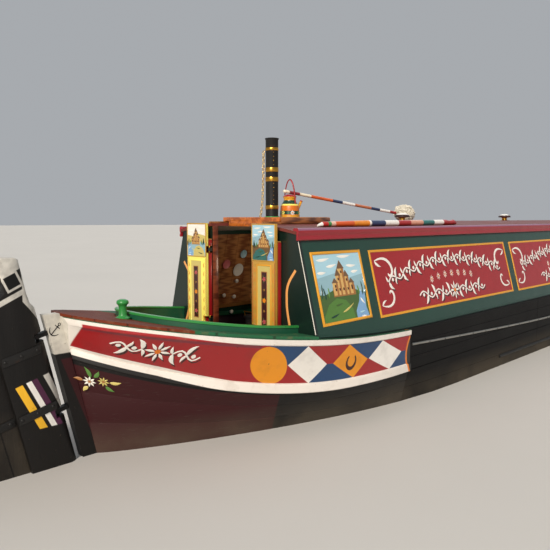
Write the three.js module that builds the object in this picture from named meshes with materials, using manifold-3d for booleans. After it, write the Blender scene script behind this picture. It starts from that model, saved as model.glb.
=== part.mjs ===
// A towed narrowboat (a butty) with a full-length cabin, in millimetres.
// +X points to the fore end, +Y to port and +Z up. The origin is on the flat bottom, midway between
// the rudder's trailing edge and the stem. Hull shapes are lofts through rings of points whose
// half breadths come from one function, so that posts, shells, decks and bulkheads all agree.
import * as THREE from "three";
import { mergeVertices } from "three/addons/utils/BufferGeometryUtils.js";
import Module from "manifold-3d";

const wasm = await Module();
wasm.setup();

// Driving dimensions
const GAP = 0.3; // between pieces that touch
const FIT = 2; // between the hull's inside and what stands in it
const PAST = 50; // how far a cutting shape runs past the faces that it cuts
const REACH = 11250; // from the origin to the rudder's trailing edge, and to the stem
const BULKHEAD_X = -8450; // aft face of the cabin's aft bulkhead
const FRONT_X = 8180; // fore face of the cabin's front bulkhead
const WALL = 40; // bulkheads and cabin sides
const PLATE = 45; // hull sides
const BOTTOM = 60; // bottom planks
const POST_HALF = 35; // half the width of the sternpost and stem
const POST_DEPTH = 110; // fore and aft depth of both posts
const GUNWALE_Z = 1200; // amidships
const BEND_Z = 810; // lower edge of the painted top bend, where it is lowest
const SIDE_TOP_Z = 2106; // top of the cabin sides
const SIDE_TOP_HALF = 744; // outer half width there
const TUMBLEHOME = 236 / 906; // how far the cabin sides lean in for each unit of height
const ROOF = 25; // roof thickness
const CAMBER = 70; // rise of the roof from its edges to its middle
const GUARD = 12; // how far the bands of the top bend stand out
const PLAIN_STEP = 18; // how far the plain side lies inside the top bend
const STRAIGHT = { from: -5200, to: 5600 }; // the stretch whose sides are nearly straight in plan
const BUTTS = [-4660, 1000]; // where the lengths of cabin side and roof meet
const EAVES = { aft: 16, fore: 12 }; // how far the roof runs past the bulkheads

// The hull's two ends. faceTop and faceZ: top of the post's outer face. rake: how far that face goes
// inboard for each unit down. shellX: where the end's shell meets the plain side. sheer: rise of the
// gunwale at the tip. bend: rise of the top bend's lower edge at the tip, from bendX.
const STERN = {
  inboard: 1, faceTop: BULKHEAD_X - 1780, faceZ: 1583, rake: 0.2394, shellX: -7180,
  sheer: 387, sheerX: BULKHEAD_X + 1600, sheerRun: 3400, bend: 520, bendX: BULKHEAD_X + 450, bendRun: 2250,
};
const BOW = {
  inboard: -1, faceTop: REACH, faceZ: 1645, rake: 0.12, shellX: 7800,
  sheer: 420, sheerX: 7000, sheerRun: 4250, bend: 500, bendX: 8300, bendRun: 2950,
};

// The hull's levels: half breadth amidships, then length and fullness of the entry at each end.
const LEVELS = {
  gunwale: { half: 1030, stern: [2200, 0.53], bow: [2600, 0.6] },
  bend: { half: 1030, stern: [2600, 0.75], bow: [3200, 0.72] },
  waterline: { half: 1002, stern: [3600, 0.85], bow: [4200, 0.85] },
  chine: { half: 990, stern: [4500, 0.95], bow: [4800, 0.95] },
};
const WATERLINE_Z = 500;

const square = (v) => v * v;
const lerp = (a, b, t) => a + (b - a) * t;
const steps = (from, to, count) => Array.from({ length: count + 1 }, (_, i) => lerp(from, to, i / count));

// How far x has gone past an end's starting line, as a share of that end's run.
function past(x, startX, run, inboard) {
  return Math.max(0, ((startX - x) * inboard) / run);
}

function gunwaleZ(x) {
  const rise = (end) => end.sheer * square(past(x, end.sheerX, end.sheerRun, end.inboard));
  return GUNWALE_Z + rise(STERN) + rise(BOW);
}

function bendZ(x) {
  const rise = (end) => end.bend * square(past(x, end.bendX, end.bendRun, end.inboard));
  return BEND_Z + rise(STERN) + rise(BOW);
}

const HEIGHT = { gunwale: gunwaleZ, bend: bendZ, waterline: () => WATERLINE_Z, chine: () => BOTTOM };

const faceX = (end, z) => end.faceTop + end.inboard * (end.faceZ - z) * end.rake;
const postX = (end, z) => faceX(end, z) + end.inboard * POST_DEPTH; // the post's inboard face

// Outer half breadth of the hull at one level, at x.
function halfBreadth(levelName, x) {
  const level = LEVELS[levelName];
  const z = HEIGHT[levelName](x);
  const fullness = (end, [length, power]) => {
    const inside = Math.max(0, (x - postX(end, z)) * end.inboard);
    return Math.sin((Math.PI / 2) * Math.min(1, inside / length)) ** power;
  };
  return POST_HALF + (level.half - POST_HALF) * fullness(STERN, level.stern) * fullness(BOW, level.bow);
}

// Inner half breadth of the hull at any height, for what stands inside it.
function innerHalf(x, z) {
  const rows = Object.keys(LEVELS).map((name) => [HEIGHT[name](x), halfBreadth(name, x)]);
  const row = rows.findIndex((r, i) => i > 0 && z >= r[0]);
  const [high, low] = row < 0 ? [rows[2], rows[3]] : [rows[row - 1], rows[row]];
  const t = Math.min(1, Math.max(0, (z - low[0]) / (high[0] - low[0])));
  return lerp(low[1], high[1], t) - PLATE - PLAIN_STEP - FIT;
}

const sideHalf = (z) => SIDE_TOP_HALF + (SIDE_TOP_Z - z) * TUMBLEHOME; // outer face of the cabin side

// A value read from a list of [place, value] pairs, in straight lines between them.
function along(pairs, place) {
  const next = pairs.findIndex(([at]) => at >= place);
  if (next <= 0) return next === 0 ? pairs[0][1] : pairs.at(-1)[1];
  const [[a, from], [b, to]] = [pairs[next - 1], pairs[next]];
  return lerp(from, to, (place - a) / (b - a));
}

// The roof is an arch of flat strips. Its underside clears the cabin sides.
const ROOF_HALF = 760;
const ROOF_EDGES = steps(-ROOF_HALF, ROOF_HALF, 9);
const ARCH = ROOF_EDGES.map((y) => [y, SIDE_TOP_Z + 3 * GAP + CAMBER * (1 - square(y / SIDE_TOP_HALF))]);
const roofUnderZ = (y) => along(ARCH, y);
const onRoof = (y) => roofUnderZ(y) + ROOF;

// Solid and geometry helpers
function toSolid(geometry) {
  const loose = geometry.index ? geometry.toNonIndexed() : geometry;
  const bare = new THREE.BufferGeometry().setAttribute("position", loose.getAttribute("position"));
  const merged = mergeVertices(bare, 1e-3);
  return new wasm.Manifold(
    new wasm.Mesh({
      numProp: 3,
      vertProperties: merged.attributes.position.array,
      triVerts: new Uint32Array(merged.index.array),
    }),
  );
}

function toGeometry(solid) {
  const mesh = solid.getMesh();
  return new THREE.BufferGeometry()
    .setAttribute("position", new THREE.BufferAttribute(mesh.vertProperties, 3))
    .setIndex(new THREE.BufferAttribute(mesh.triVerts, 1));
}

const cut = (body, ...tools) => toGeometry(tools.reduce((s, t) => s.subtract(toSolid(t)), toSolid(body)));
const join = (body, ...others) => toGeometry(others.reduce((s, t) => s.add(toSolid(t)), toSolid(body)));
const common = (body, other) => toGeometry(toSolid(body).intersect(toSolid(other)));

// A closed solid through rings of equally many [x, y, z] points, with its two end rings filled in.
function loft(rings) {
  const n = rings[0].length;
  const points = rings.flat();
  const faces = [];
  for (let r = 0; r + 1 < rings.length; r++) {
    for (let i = 0; i < n; i++) {
      const [a, b] = [r * n + i, r * n + ((i + 1) % n)];
      faces.push([a, b, b + n], [a, b + n, a + n]);
    }
  }
  const cap = (first, reversed) => {
    const flat = points.slice(first, first + n).map(([, y, z]) => new THREE.Vector2(y, z));
    const ringSign = Math.sign(THREE.ShapeUtils.area(flat));
    for (const [i, j, k] of THREE.ShapeUtils.triangulateShape(flat, [])) {
      const sign = Math.sign(THREE.ShapeUtils.area([flat[i], flat[j], flat[k]]));
      const sameTurn = sign === ringSign;
      const face = [first + i, first + j, first + k];
      faces.push(sameTurn === reversed ? face.reverse() : face);
    }
  };
  cap(0, true);
  cap(points.length - n, false);
  const corner = (i) => new THREE.Vector3(...points[i]);
  const volume = faces.reduce((sum, [i, j, k]) => sum + corner(i).dot(corner(j).cross(corner(k))), 0);
  if (volume < 0) faces.forEach((face) => face.reverse());
  return new THREE.BufferGeometry()
    .setAttribute("position", new THREE.Float32BufferAttribute(points.flat(), 3))
    .setIndex(faces.flat());
}

// A box between two corners.
function block([x0, y0, z0], [x1, y1, z1]) {
  return new THREE.BoxGeometry(x1 - x0, y1 - y0, z1 - z0)
    .translate((x0 + x1) / 2, (y0 + y1) / 2, (z0 + z1) / 2);
}

const shapeOf = (points) => new THREE.Shape(points.map(([u, v]) => new THREE.Vector2(u, v)));

// An outline in plan, raised from z0 to z1.
function planSlab(points, z0, z1) {
  return new THREE.ExtrudeGeometry(shapeOf(points), { depth: z1 - z0, bevelEnabled: false })
    .translate(0, 0, z0);
}

// An outline in side view (x, z), from y0 to y1.
function sideSlab(points, y0, y1) {
  return new THREE.ExtrudeGeometry(shapeOf(points), { depth: y1 - y0, bevelEnabled: false })
    .rotateX(Math.PI / 2)
    .translate(0, y1, 0);
}

// An outline in end view (y, z), from x0 to x1.
function endSlab(points, x0, x1) {
  return new THREE.ExtrudeGeometry(shapeOf(points), { depth: x1 - x0, bevelEnabled: false })
    .rotateX(Math.PI / 2)
    .rotateZ(Math.PI / 2)
    .translate(x0, 0, 0);
}

// A round bar between two points.
function bar(from, to, radius, sides = 12, radiusTo = radius) {
  const [a, b] = [new THREE.Vector3(...from), new THREE.Vector3(...to)];
  const span = b.clone().sub(a);
  const upright = new THREE.Vector3(0, 1, 0);
  const turn = new THREE.Quaternion().setFromUnitVectors(upright, span.clone().normalize());
  return new THREE.CylinderGeometry(radiusTo, radius, span.length(), sides)
    .applyQuaternion(turn)
    .translate(...a.add(b).multiplyScalar(0.5).toArray());
}

// A round tube along a curve.
function tube(curve, radius, stepCount, sides) {
  const circle = new THREE.EllipseCurve(0, 0, radius, radius).getPoints(sides).slice(0, -1);
  const section = new THREE.Shape(circle);
  return new THREE.ExtrudeGeometry(section, { steps: stepCount, bevelEnabled: false, extrudePath: curve });
}

// A turned piece from [radius, z] points, standing at x, y, z.
function turned(profile, sides, x, y, z) {
  return new THREE.LatheGeometry(profile.map(([r, h]) => new THREE.Vector2(r, h)), sides)
    .rotateX(Math.PI / 2)
    .translate(x, y, z);
}

const mirrored = (points) => [...points, ...points.map(([u, v]) => [-u, v]).reverse()];

// Materials
function finish(color, roughness, metalness = 0) {
  return new THREE.MeshStandardMaterial({ color, roughness, metalness });
}
const PAINT = {
  black: finish(0x14120f, 0.5),
  green: finish(0x1d4a38, 0.35),
  red: finish(0xa3271f, 0.35),
  deck: finish(0x5b2420, 0.55),
  bend: finish(0xb3322a, 0.35),
  maroon: finish(0x4d1a1b, 0.45),
  orange: finish(0xd9822b, 0.4),
  yellow: finish(0xd9b53c, 0.4),
  grained: finish(0x7a4324, 0.45),
  planks: finish(0x3a2c22, 0.8),
  brass: finish(0xb98e3c, 0.3, 0.9),
  iron: finish(0x1b1a19, 0.55, 0.4),
  rag: finish(0xe8e2d4, 0.9),
};

const boat = new THREE.Group();
function piece(name, geometry, paint) {
  const mesh = new THREE.Mesh(geometry, PAINT[paint].clone());
  mesh.name = name;
  boat.add(mesh);
}

const SIDES = [["port", 1], ["starboard", -1]];

// Bottom and posts
function bottomPlanks() {
  const heel = faceX(STERN, BOTTOM);
  const toe = faceX(BOW, BOTTOM);
  const stations = [
    ...steps(postX(STERN, BOTTOM), STRAIGHT.from, 8),
    ...steps(STRAIGHT.to, postX(BOW, BOTTOM), 8),
  ];
  const edge = stations.map((x) => [x, halfBreadth("chine", x)]);
  const halfPlan = [[heel, POST_HALF], ...edge, [toe, POST_HALF]];
  return planSlab([...halfPlan, ...halfPlan.map(([x, y]) => [x, -y]).reverse()], 0, BOTTOM);
}
piece("bottom_planks", bottomPlanks(), "planks");

// Rudder irons: each gudgeon is a lug on the sternpost with a hole for a pin on the raked axis.
const AXIS_BEHIND = 75; // from the sternpost's face to the rudder's axis, square to both
const RAKE = Math.atan(STERN.rake);
const GUDGEONS_Z = [330, 880, 1430];
const LUG = { half: 22, reach: 22, thick: 30, hole: 12.8, pin: 12, root: 12 };
const NOTCH = { height: 60, depth: 40, half: 90, ahead: 90 };
const PIN_END = 4; // how far a pin runs into the piece that carries it

// A point of the rudder's own frame (aft of the axis, across, up along it) in the boat's frame.
function rudderPoint(aft, across, up) {
  const axisX = STERN.faceTop - AXIS_BEHIND / Math.cos(RAKE);
  const rise = up - STERN.faceZ * Math.cos(RAKE);
  return [
    axisX - aft * Math.cos(RAKE) - rise * Math.sin(RAKE),
    across,
    STERN.faceZ - aft * Math.sin(RAKE) + rise * Math.cos(RAKE),
  ];
}

// Turns a geometry made in the rudder's own frame (-x aft of the axis, z along it) into the boat's.
function rakeBack(geometry) {
  const [x, y, z] = rudderPoint(0, 0, 0);
  return geometry.rotateY(-RAKE).translate(x, y, z);
}
const upAxis = (z) => (z - STERN.faceZ) / Math.cos(RAKE) + STERN.faceZ * Math.cos(RAKE);

function post(end, topZ) {
  const foot = BOTTOM + GAP;
  const corners = [
    [faceX(end, foot), foot], [postX(end, foot), foot],
    [postX(end, topZ), topZ], [faceX(end, topZ), topZ],
  ];
  return sideSlab(end.inboard > 0 ? corners : [...corners].reverse(), -POST_HALF, POST_HALF);
}

const lugs = GUDGEONS_Z.map((z) => {
  const low = upAxis(z) - LUG.thick / 2;
  const high = low + LUG.thick;
  return rakeBack(cut(
    block([-LUG.reach, -LUG.half, low], [AXIS_BEHIND + LUG.root, LUG.half, high]),
    bar([0, 0, low - PAST], [0, 0, high + PAST], LUG.hole, 16),
  ));
});
const STERNPOST_TOP = STERN.faceZ - 8;
piece("sternpost", join(post(STERN, STERNPOST_TOP), ...lugs), "black");
piece("stem_post", post(BOW, BOW.faceZ), "black");

// Where a level of an end shell starts, just clear of the post. down: how far the point lies from
// the level itself.
function tipX(end, levelName, down) {
  let x = postX(end, end.faceZ);
  for (let i = 0; i < 6; i++) x = postX(end, HEIGHT[levelName](x) + down) + end.inboard * GAP;
  return x;
}

// The top bend's two raised bands: their heights, and how soon each one's inner edge slopes in.
const BAND = { upper: 48, lower: 72, slope: 6 };

// One ring of hull side. at(level, down) gives the x where that level is met. Bended rings carry the
// top bend with its two raised bands, plain rings are flush.
function hullRing(side, at, bended) {
  const outer = [];
  const put = (levelName, outward, down = 0) => {
    const x = at(levelName, down);
    outer.push([x, halfBreadth(levelName, x) + outward, HEIGHT[levelName](x) + down]);
  };
  if (bended) {
    put("gunwale", GUARD);
    put("gunwale", GUARD, -BAND.upper);
    put("gunwale", 0, -BAND.upper - BAND.slope);
    put("bend", 0, BAND.lower + BAND.slope);
    put("bend", GUARD, BAND.lower);
    put("bend", GUARD);
  } else {
    put("gunwale", -PLAIN_STEP);
  }
  put("bend", -PLAIN_STEP);
  put("waterline", 0);
  put("chine", 0, GAP);
  const inner = Object.keys(LEVELS).reverse().map((levelName) => {
    const lift = levelName === "chine" ? GAP : 0;
    const x = at(levelName, lift);
    const step = levelName === "bend" || !bended ? PLAIN_STEP : 0;
    const inward = levelName === "chine" || levelName === "waterline" ? PLATE : PLATE + step;
    return [x, Math.max(GAP, halfBreadth(levelName, x) - inward), HEIGHT[levelName](x) + lift];
  });
  return [...outer, ...inner].map(([x, y, z]) => [x, y * side, z]);
}

const SHELL_SHARES = [0, 0.015, 0.04, 0.08, 0.14, 0.22, 0.32, 0.44, 0.57, 0.7, 0.85, 1];
const shellAt = (end, u) => (levelName, down) => lerp(tipX(end, levelName, down), end.shellX, u);

function endShell(end, side) {
  return loft(SHELL_SHARES.map((u) => hullRing(side, shellAt(end, u), true)));
}

// The middle of the plain sides has no stations, because it is straight there.
const MIDDLE = { from: -4000, to: 5200, end: 6000 };
const SIDE_STATIONS = [
  ...steps(STERN.shellX + GAP, STRAIGHT.from, 4),
  ...steps(MIDDLE.from, MIDDLE.to, 2),
  ...steps(MIDDLE.end, BOW.shellX - GAP, 4),
];

// Where the hull's top edge has corners, so that what stands on it follows it exactly.
const rimX = (end) => SHELL_SHARES.map((u) => shellAt(end, u)("gunwale", 0));
const RIM_X = [...rimX(STERN), ...SIDE_STATIONS, ...rimX(BOW).reverse()];
const RIM = RIM_X.map((x) => [x, gunwaleZ(x)]);
const rimZ = (x) => along(RIM, x);

// The rim's corners between two places, without those that lie too near to the ends.
function rimStations(x0, x1) {
  const least = 5;
  return [x0, ...RIM_X.filter((x) => x > x0 + least && x < x1 - least), x1];
}

for (const [name, side] of SIDES) {
  piece(`stern_shell_${name}`, endShell(STERN, side), "bend");
  piece(`hull_side_${name}`, loft(SIDE_STATIONS.map((x) => hullRing(side, () => x, false))), "black");
  piece(`bow_shell_${name}`, endShell(BOW, side), "bend");
}

// A low iron strake along each plain side, just above the water.
const STRAKE = { z: 600, high: 38, out: 16, round: 8 };
for (const [name, side] of SIDES) {
  const halfAt = (x, z) => {
    const t = (z - WATERLINE_Z) / (bendZ(x) - WATERLINE_Z);
    return lerp(halfBreadth("waterline", x), halfBreadth("bend", x) - PLAIN_STEP, t);
  };
  const { z: low, high, out, round } = STRAKE;
  const ring = (x) => [
    [x, side * (halfAt(x, low) + GAP), low],
    [x, side * (halfAt(x, low) + out), low + round],
    [x, side * (halfAt(x, low) + out), low + high - round],
    [x, side * (halfAt(x, low + high) + GAP), low + high],
  ];
  piece(`rubbing_strake_${name}`, loft(steps(STRAIGHT.from, STRAIGHT.to, 2).map(ring)), "iron");
}

// Gunwale ledges under the cabin sides
const LEDGE = { width: 46, thick: 40, clear: 3 };
for (const [name, side] of SIDES) {
  const ring = (x) => {
    const outer = halfBreadth("gunwale", x) - PLATE - PLAIN_STEP - LEDGE.clear;
    const inner = outer - LEDGE.width;
    const top = rimZ(x);
    const low = top - LEDGE.thick;
    return [[x, side * inner, low], [x, side * outer, low], [x, side * outer, top], [x, side * inner, top]];
  };
  const stations = rimStations(BULKHEAD_X + WALL + GAP, FRONT_X - WALL - GAP);
  piece(`gunwale_${name}`, loft(stations.map(ring)), "green");
}

// Decks and wells
const DECK = { thick: 20, setIn: 4 };
function deckRing(x) {
  const low = rimZ(x) + GAP;
  const top = low + DECK.thick;
  const half = halfBreadth("gunwale", x) + GUARD - DECK.setIn;
  return [[x, -half, top], [x, half, top], [x, half, low], [x, -half, low]];
}

// Half outline of the steerer's well in plan: how far aft of the bulkhead, and half width there.
const WELL = [[4, 745], [350, 735], [600, 655], [820, 520], [980, 330], [1050, 130]];
const [[, WELL_HALF]] = WELL;
const COAMING = { thick: 28, rise: 90, drop: 70, end: 4.5 };
const WELL_FLOOR_Z = 965;
const CUT_Z = [700, 2000]; // from under the stern deck to over it

// The well's outline, moved outward by grow except along the bulkhead.
function wellOutline(grow) {
  const half = WELL.map(([aft, y], i) => [y + grow, BULKHEAD_X - aft - (i > 0 ? grow : 0)]);
  return mirrored(half).map(([y, x]) => [x, y]);
}

const deckStart = (end) => shellAt(end, 0)("gunwale", 0);
const openHalf = WELL_HALF + COAMING.thick + GAP;
piece("stern_deck", cut(
  loft(rimStations(deckStart(STERN), BULKHEAD_X - GAP).map(deckRing)),
  planSlab(wellOutline(COAMING.thick + GAP), ...CUT_Z),
  block([BULKHEAD_X - PAST, -openHalf, CUT_Z[0]], [BULKHEAD_X + PAST, openHalf, CUT_Z[1]]),
), "deck");

// The coaming stands through the deck round the well, and follows the sheer.
const coamingSheer = (x) => {
  const [low, top] = [gunwaleZ(x) - COAMING.drop, gunwaleZ(x) + COAMING.rise];
  const half = WELL_HALF + COAMING.thick + PAST;
  return [[x, -half, low], [x, half, low], [x, half, top], [x, -half, top]];
};
const WELL_AFT = BULKHEAD_X - WELL.at(-1)[0];
piece("well_coaming", common(
  cut(
    planSlab(wellOutline(COAMING.thick), ...CUT_Z),
    planSlab(wellOutline(0), CUT_Z[0] - PAST, CUT_Z[1] + PAST),
    block(
      [BULKHEAD_X - COAMING.end, 5 - WELL_HALF, CUT_Z[0] - PAST],
      [BULKHEAD_X + PAST, WELL_HALF - 5, CUT_Z[1] + PAST],
    ),
  ),
  loft(steps(WELL_AFT - 4 * PAST, BULKHEAD_X - COAMING.end - 0.5, 6).map(coamingSheer)),
), "green");

// A floor across the inside of the hull, with its top at z.
function floorRing(x, z, thick, most = Infinity) {
  const half = Math.min(most, innerHalf(x, z - thick) - 3 * FIT);
  return [[x, -half, z - thick], [x, half, z - thick], [x, half, z], [x, -half, z]];
}
const BOARD = 25; // thickness of floors and light bulkheads
const wellFloor = steps(WELL_AFT + 70, BULKHEAD_X - GAP, 6).map((x) => floorRing(x, WELL_FLOOR_Z, BOARD));
piece("well_floor", loft(wellFloor), "grained");

const FORE_DECK_X = 9500;
const FORE_FLOOR_Z = 640;
piece("fore_deck", loft(rimStations(FORE_DECK_X, deckStart(BOW)).map(deckRing)), "deck");
piece("fore_well_floor", loft(
  steps(FRONT_X + GAP, FORE_DECK_X - GAP, 3).map((x) => floorRing(x, FORE_FLOOR_Z, BOARD)),
), "planks");
{
  const x = FORE_DECK_X + BOARD;
  const heights = [FORE_FLOOR_Z - BOARD, bendZ(x), rimZ(FORE_DECK_X) - 1];
  const half = heights.map((z) => [innerHalf(x, z) - 2 * FIT, z]);
  piece("fore_deck_board", endSlab(mirrored(half), FORE_DECK_X, x), "green");
}

// Door hinges: a knuckle on an arm from the bulkhead, and a pin through it. The leaf carries the pin
// in a notch.
const HINGE = { notchHalf: 50, notchHigh: 60, knuckle: 12, high: 30, hole: 6.8, pin: 6, arm: 16, root: 2 };
const REAR_HINGE = { x: BULKHEAD_X - 42, y: 300, heights: [1300, 1950], wall: BULKHEAD_X };
const FRONT_HINGE = { x: FRONT_X + 24.5, y: 324, heights: [900, 1750], wall: FRONT_X };

function knuckle({ x, y, wall }, side, z) {
  const [low, high] = [z - HINGE.high / 2, z + HINGE.high / 2];
  const inWall = wall + Math.sign(wall - x) * HINGE.root;
  const arm = block(
    [Math.min(x, inWall), Math.min(side * y, side * (y + HINGE.arm)), low],
    [Math.max(x, inWall), Math.max(side * y, side * (y + HINGE.arm)), high],
  );
  const eye = join(bar([x, side * y, low], [x, side * y, high], HINGE.knuckle, 16), arm);
  return cut(eye, bar([x, side * y, low - PAST], [x, side * y, high + PAST], HINGE.hole, 16));
}
const knuckles = (hinge) => SIDES.flatMap(([, side]) => hinge.heights.map((z) => knuckle(hinge, side, z)));

// A leaf with its notches and pins.
function hung(leaf, { x, y, heights }, side) {
  const [half, high] = [HINGE.notchHalf, HINGE.notchHigh / 2];
  const notches = heights.map((z) => block(
    [x - half, side * y - half, z - high],
    [x + half, side * y + half, z + high],
  ));
  const reach = high + PIN_END;
  const pins = heights.map((z) => bar([x, side * y, z - reach], [x, side * y, z + reach], HINGE.pin, 12));
  return join(cut(leaf, ...notches), ...pins);
}

// Bulkheads
function archUnder(half) {
  return ARCH.filter(([y]) => y > 0 && y < half).reverse().map(([y, z]) => [y, z - 2 * GAP]);
}

function bulkheadOutline(x) {
  const top = rimZ(x) + FIT;
  const shoulder = top - 30;
  const inHull = (z) => innerHalf(x, z) - 2 * FIT;
  const hull = [BOTTOM + GAP, WATERLINE_Z, bendZ(x), shoulder].map((z) => [inHull(z), z]);
  const cabin = [[inHull(shoulder), top], [sideHalf(top), top], [SIDE_TOP_HALF, SIDE_TOP_Z]];
  return [...hull, ...cabin, ...archUnder(SIDE_TOP_HALF)];
}

// A bulkhead with a doorway, from x to x + WALL. head: the doorway's top.
function bulkhead(x, outlineX, { half, sill, head }, hinge) {
  const doorway = block([x - PAST, -half, sill], [x + WALL + PAST, half, head]);
  return join(cut(endSlab(mirrored(bulkheadOutline(outlineX)), x, x + WALL), doorway), ...knuckles(hinge));
}
const DOORWAY = { half: 300, sill: 1140, head: 2600 }; // open at the top, under the slide
const FRONT_DOORWAY = { half: 320, sill: 700, head: 1960 };
piece("aft_bulkhead", bulkhead(BULKHEAD_X, BULKHEAD_X, DOORWAY, REAR_HINGE), "green");
piece("front_bulkhead", bulkhead(FRONT_X - WALL, FRONT_X, FRONT_DOORWAY, FRONT_HINGE), "green");

// The light bulkhead between the back cabin and the rest, with a plain opening.
const INNER = { x: BULKHEAD_X + 3000, foot: 220, bench: 900, sideZ: 1140, lean: 1250, clear: 8 };
{
  const { x, foot, bench, sideZ, lean, clear } = INNER;
  const inside = WALL + clear;
  const outline = mirrored([
    [bench, foot], [bench, sideZ], [sideHalf(lean) - inside, lean], [SIDE_TOP_HALF - inside, SIDE_TOP_Z],
    ...archUnder(SIDE_TOP_HALF - 2 * PAST),
  ]);
  const opening = block([x - PAST, -280, 260], [x + PAST, 280, 2000]);
  piece("inner_bulkhead", cut(endSlab(outline, x, x + BOARD), opening), "grained");
}

// Cabin sides. x from, x to, and each window's centre.
const CABIN_SIDES = [
  ["aft", BULKHEAD_X + WALL + GAP, BUTTS[0], []],
  ["mid", BUTTS[0] + GAP, BUTTS[1], [-700]],
  ["fore", BUTTS[1] + GAP, FRONT_X - WALL - GAP, [2200, 4050, 5900, 7300]],
];
const WINDOW = { width: 820, height: 430, z: 1690, corner: 70, through: 400 };

function roundedWindow(x, side) {
  const [w, h, r] = [WINDOW.width / 2, WINDOW.height / 2, WINDOW.corner];
  const outline = new THREE.Shape();
  outline.moveTo(x - w + r, WINDOW.z - h);
  outline.absarc(x + w - r, WINDOW.z - h + r, r, -Math.PI / 2, 0);
  outline.absarc(x + w - r, WINDOW.z + h - r, r, 0, Math.PI / 2);
  outline.absarc(x - w + r, WINDOW.z + h - r, r, Math.PI / 2, Math.PI);
  outline.absarc(x - w + r, WINDOW.z - h + r, r, Math.PI, Math.PI * 1.5);
  const depth = WINDOW.through;
  return new THREE.ExtrudeGeometry(outline, { depth, bevelEnabled: false, curveSegments: 4 })
    .rotateX(Math.PI / 2)
    .translate(0, side * sideHalf(WINDOW.z) + depth / 2, 0);
}

function cabinSide(side, x0, x1, windows) {
  const wall = loft(rimStations(x0, x1).map((x) => {
    const foot = rimZ(x) + GAP;
    return [
      [x, side * sideHalf(foot), foot],
      [x, side * SIDE_TOP_HALF, SIDE_TOP_Z],
      [x, side * (SIDE_TOP_HALF - WALL), SIDE_TOP_Z],
      [x, side * (sideHalf(foot) - WALL), foot],
    ];
  }));
  const holes = windows.map((x) => roundedWindow(x, side));
  return holes.length ? cut(wall, ...holes) : wall;
}
for (const [name, side] of SIDES) {
  for (const [part, x0, x1, windows] of CABIN_SIDES) {
    piece(`cabin_side_${part}_${name}`, cabinSide(side, x0, x1, windows), "green");
  }
}

// Roof. The aft piece has the hatch opening over the doorway, and all carry their mushroom vents.
const HATCH = { half: DOORWAY.half, length: 640 };
function roofPiece(x0, x1) {
  const ring = (x) => [
    ...ARCH.map(([y, z]) => [x, y, z + ROOF]),
    ...ARCH.map(([y, z]) => [x, y, z]).reverse(),
  ];
  return loft([ring(x0), ring(x1)]);
}
const VENT = [[0, 0], [48, 0], [48, 42], [92, 50], [84, 74], [48, 92], [0, 98]];
const VENT_ROOT = 3; // how deep a vent's foot lies in the roof
const vent = (x) => turned(VENT, 14, x, 0, onRoof(0) - VENT_ROOT);
const hatchHole = block(
  [BULKHEAD_X - PAST, -HATCH.half, SIDE_TOP_Z - 4 * PAST],
  [BULKHEAD_X + HATCH.length, HATCH.half, SIDE_TOP_Z + 8 * PAST],
);
const roofAft = cut(roofPiece(BULKHEAD_X - EAVES.aft, BUTTS[0]), hatchHole);
piece("roof_aft", join(roofAft, vent(-5750)), "deck");
piece("roof_mid", join(roofPiece(BUTTS[0] + GAP, BUTTS[1]), vent(-2900), vent(-300)), "deck");
piece("roof_fore", join(roofPiece(BUTTS[1] + GAP, FRONT_X + EAVES.fore), vent(2600), vent(5600)), "deck");

// Handrails wrap over the roof's edges.
const HANDRAIL = { in: 724, out: 783, low: 2057, soffit: 2099, chamfer: 2146, top: 2157 };
for (const [name, side] of SIDES) {
  const edge = ROOF_HALF + GAP;
  const section = [
    [edge - FIT, HANDRAIL.low], [HANDRAIL.out, HANDRAIL.low], [HANDRAIL.out, HANDRAIL.chamfer],
    [HANDRAIL.out - 9, HANDRAIL.top], [HANDRAIL.in + 2, HANDRAIL.top],
    [HANDRAIL.in, onRoof(HANDRAIL.in) + GAP], [edge, onRoof(ROOF_HALF) + GAP], [edge, HANDRAIL.soffit],
  ];
  const ring = (x) => section.map(([y, z]) => [x, side * y, z]);
  piece(`handrail_${name}`, loft([ring(BULKHEAD_X - EAVES.aft), ring(FRONT_X + EAVES.fore)]), "red");
}

// Slide hatch on its two runners
const RUNNER = { in: 338, out: 368, top: 2207, start: 10, length: 1300 };
for (const [name, side] of SIDES) {
  const footAt = (y) => onRoof(y) + GAP;
  const section = [
    [RUNNER.in, footAt(RUNNER.in)], [RUNNER.out, footAt(RUNNER.out)],
    [RUNNER.out, RUNNER.top], [RUNNER.in, RUNNER.top],
  ];
  const ring = (x) => section.map(([y, z]) => [x, side * y, z]);
  const ends = [ring(BULKHEAD_X + RUNNER.start), ring(BULKHEAD_X + RUNNER.length)];
  piece(`slide_runner_${name}`, loft(ends), "grained");
}
const SLIDE = { open: 190, length: 690, half: 372, thick: 40, lip: 46, lipThick: 22, lipHalf: 290 };
{
  const aft = BULKHEAD_X + SLIDE.open;
  const low = RUNNER.top + GAP;
  piece("slide_hatch", join(
    block([aft, -SLIDE.half, low], [aft + SLIDE.length, SLIDE.half, low + SLIDE.thick]),
    block([aft, -SLIDE.lipHalf, low - SLIDE.lip], [aft + SLIDE.lipThick, SLIDE.lipHalf, low + 5]),
  ), "orange");
}

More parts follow.
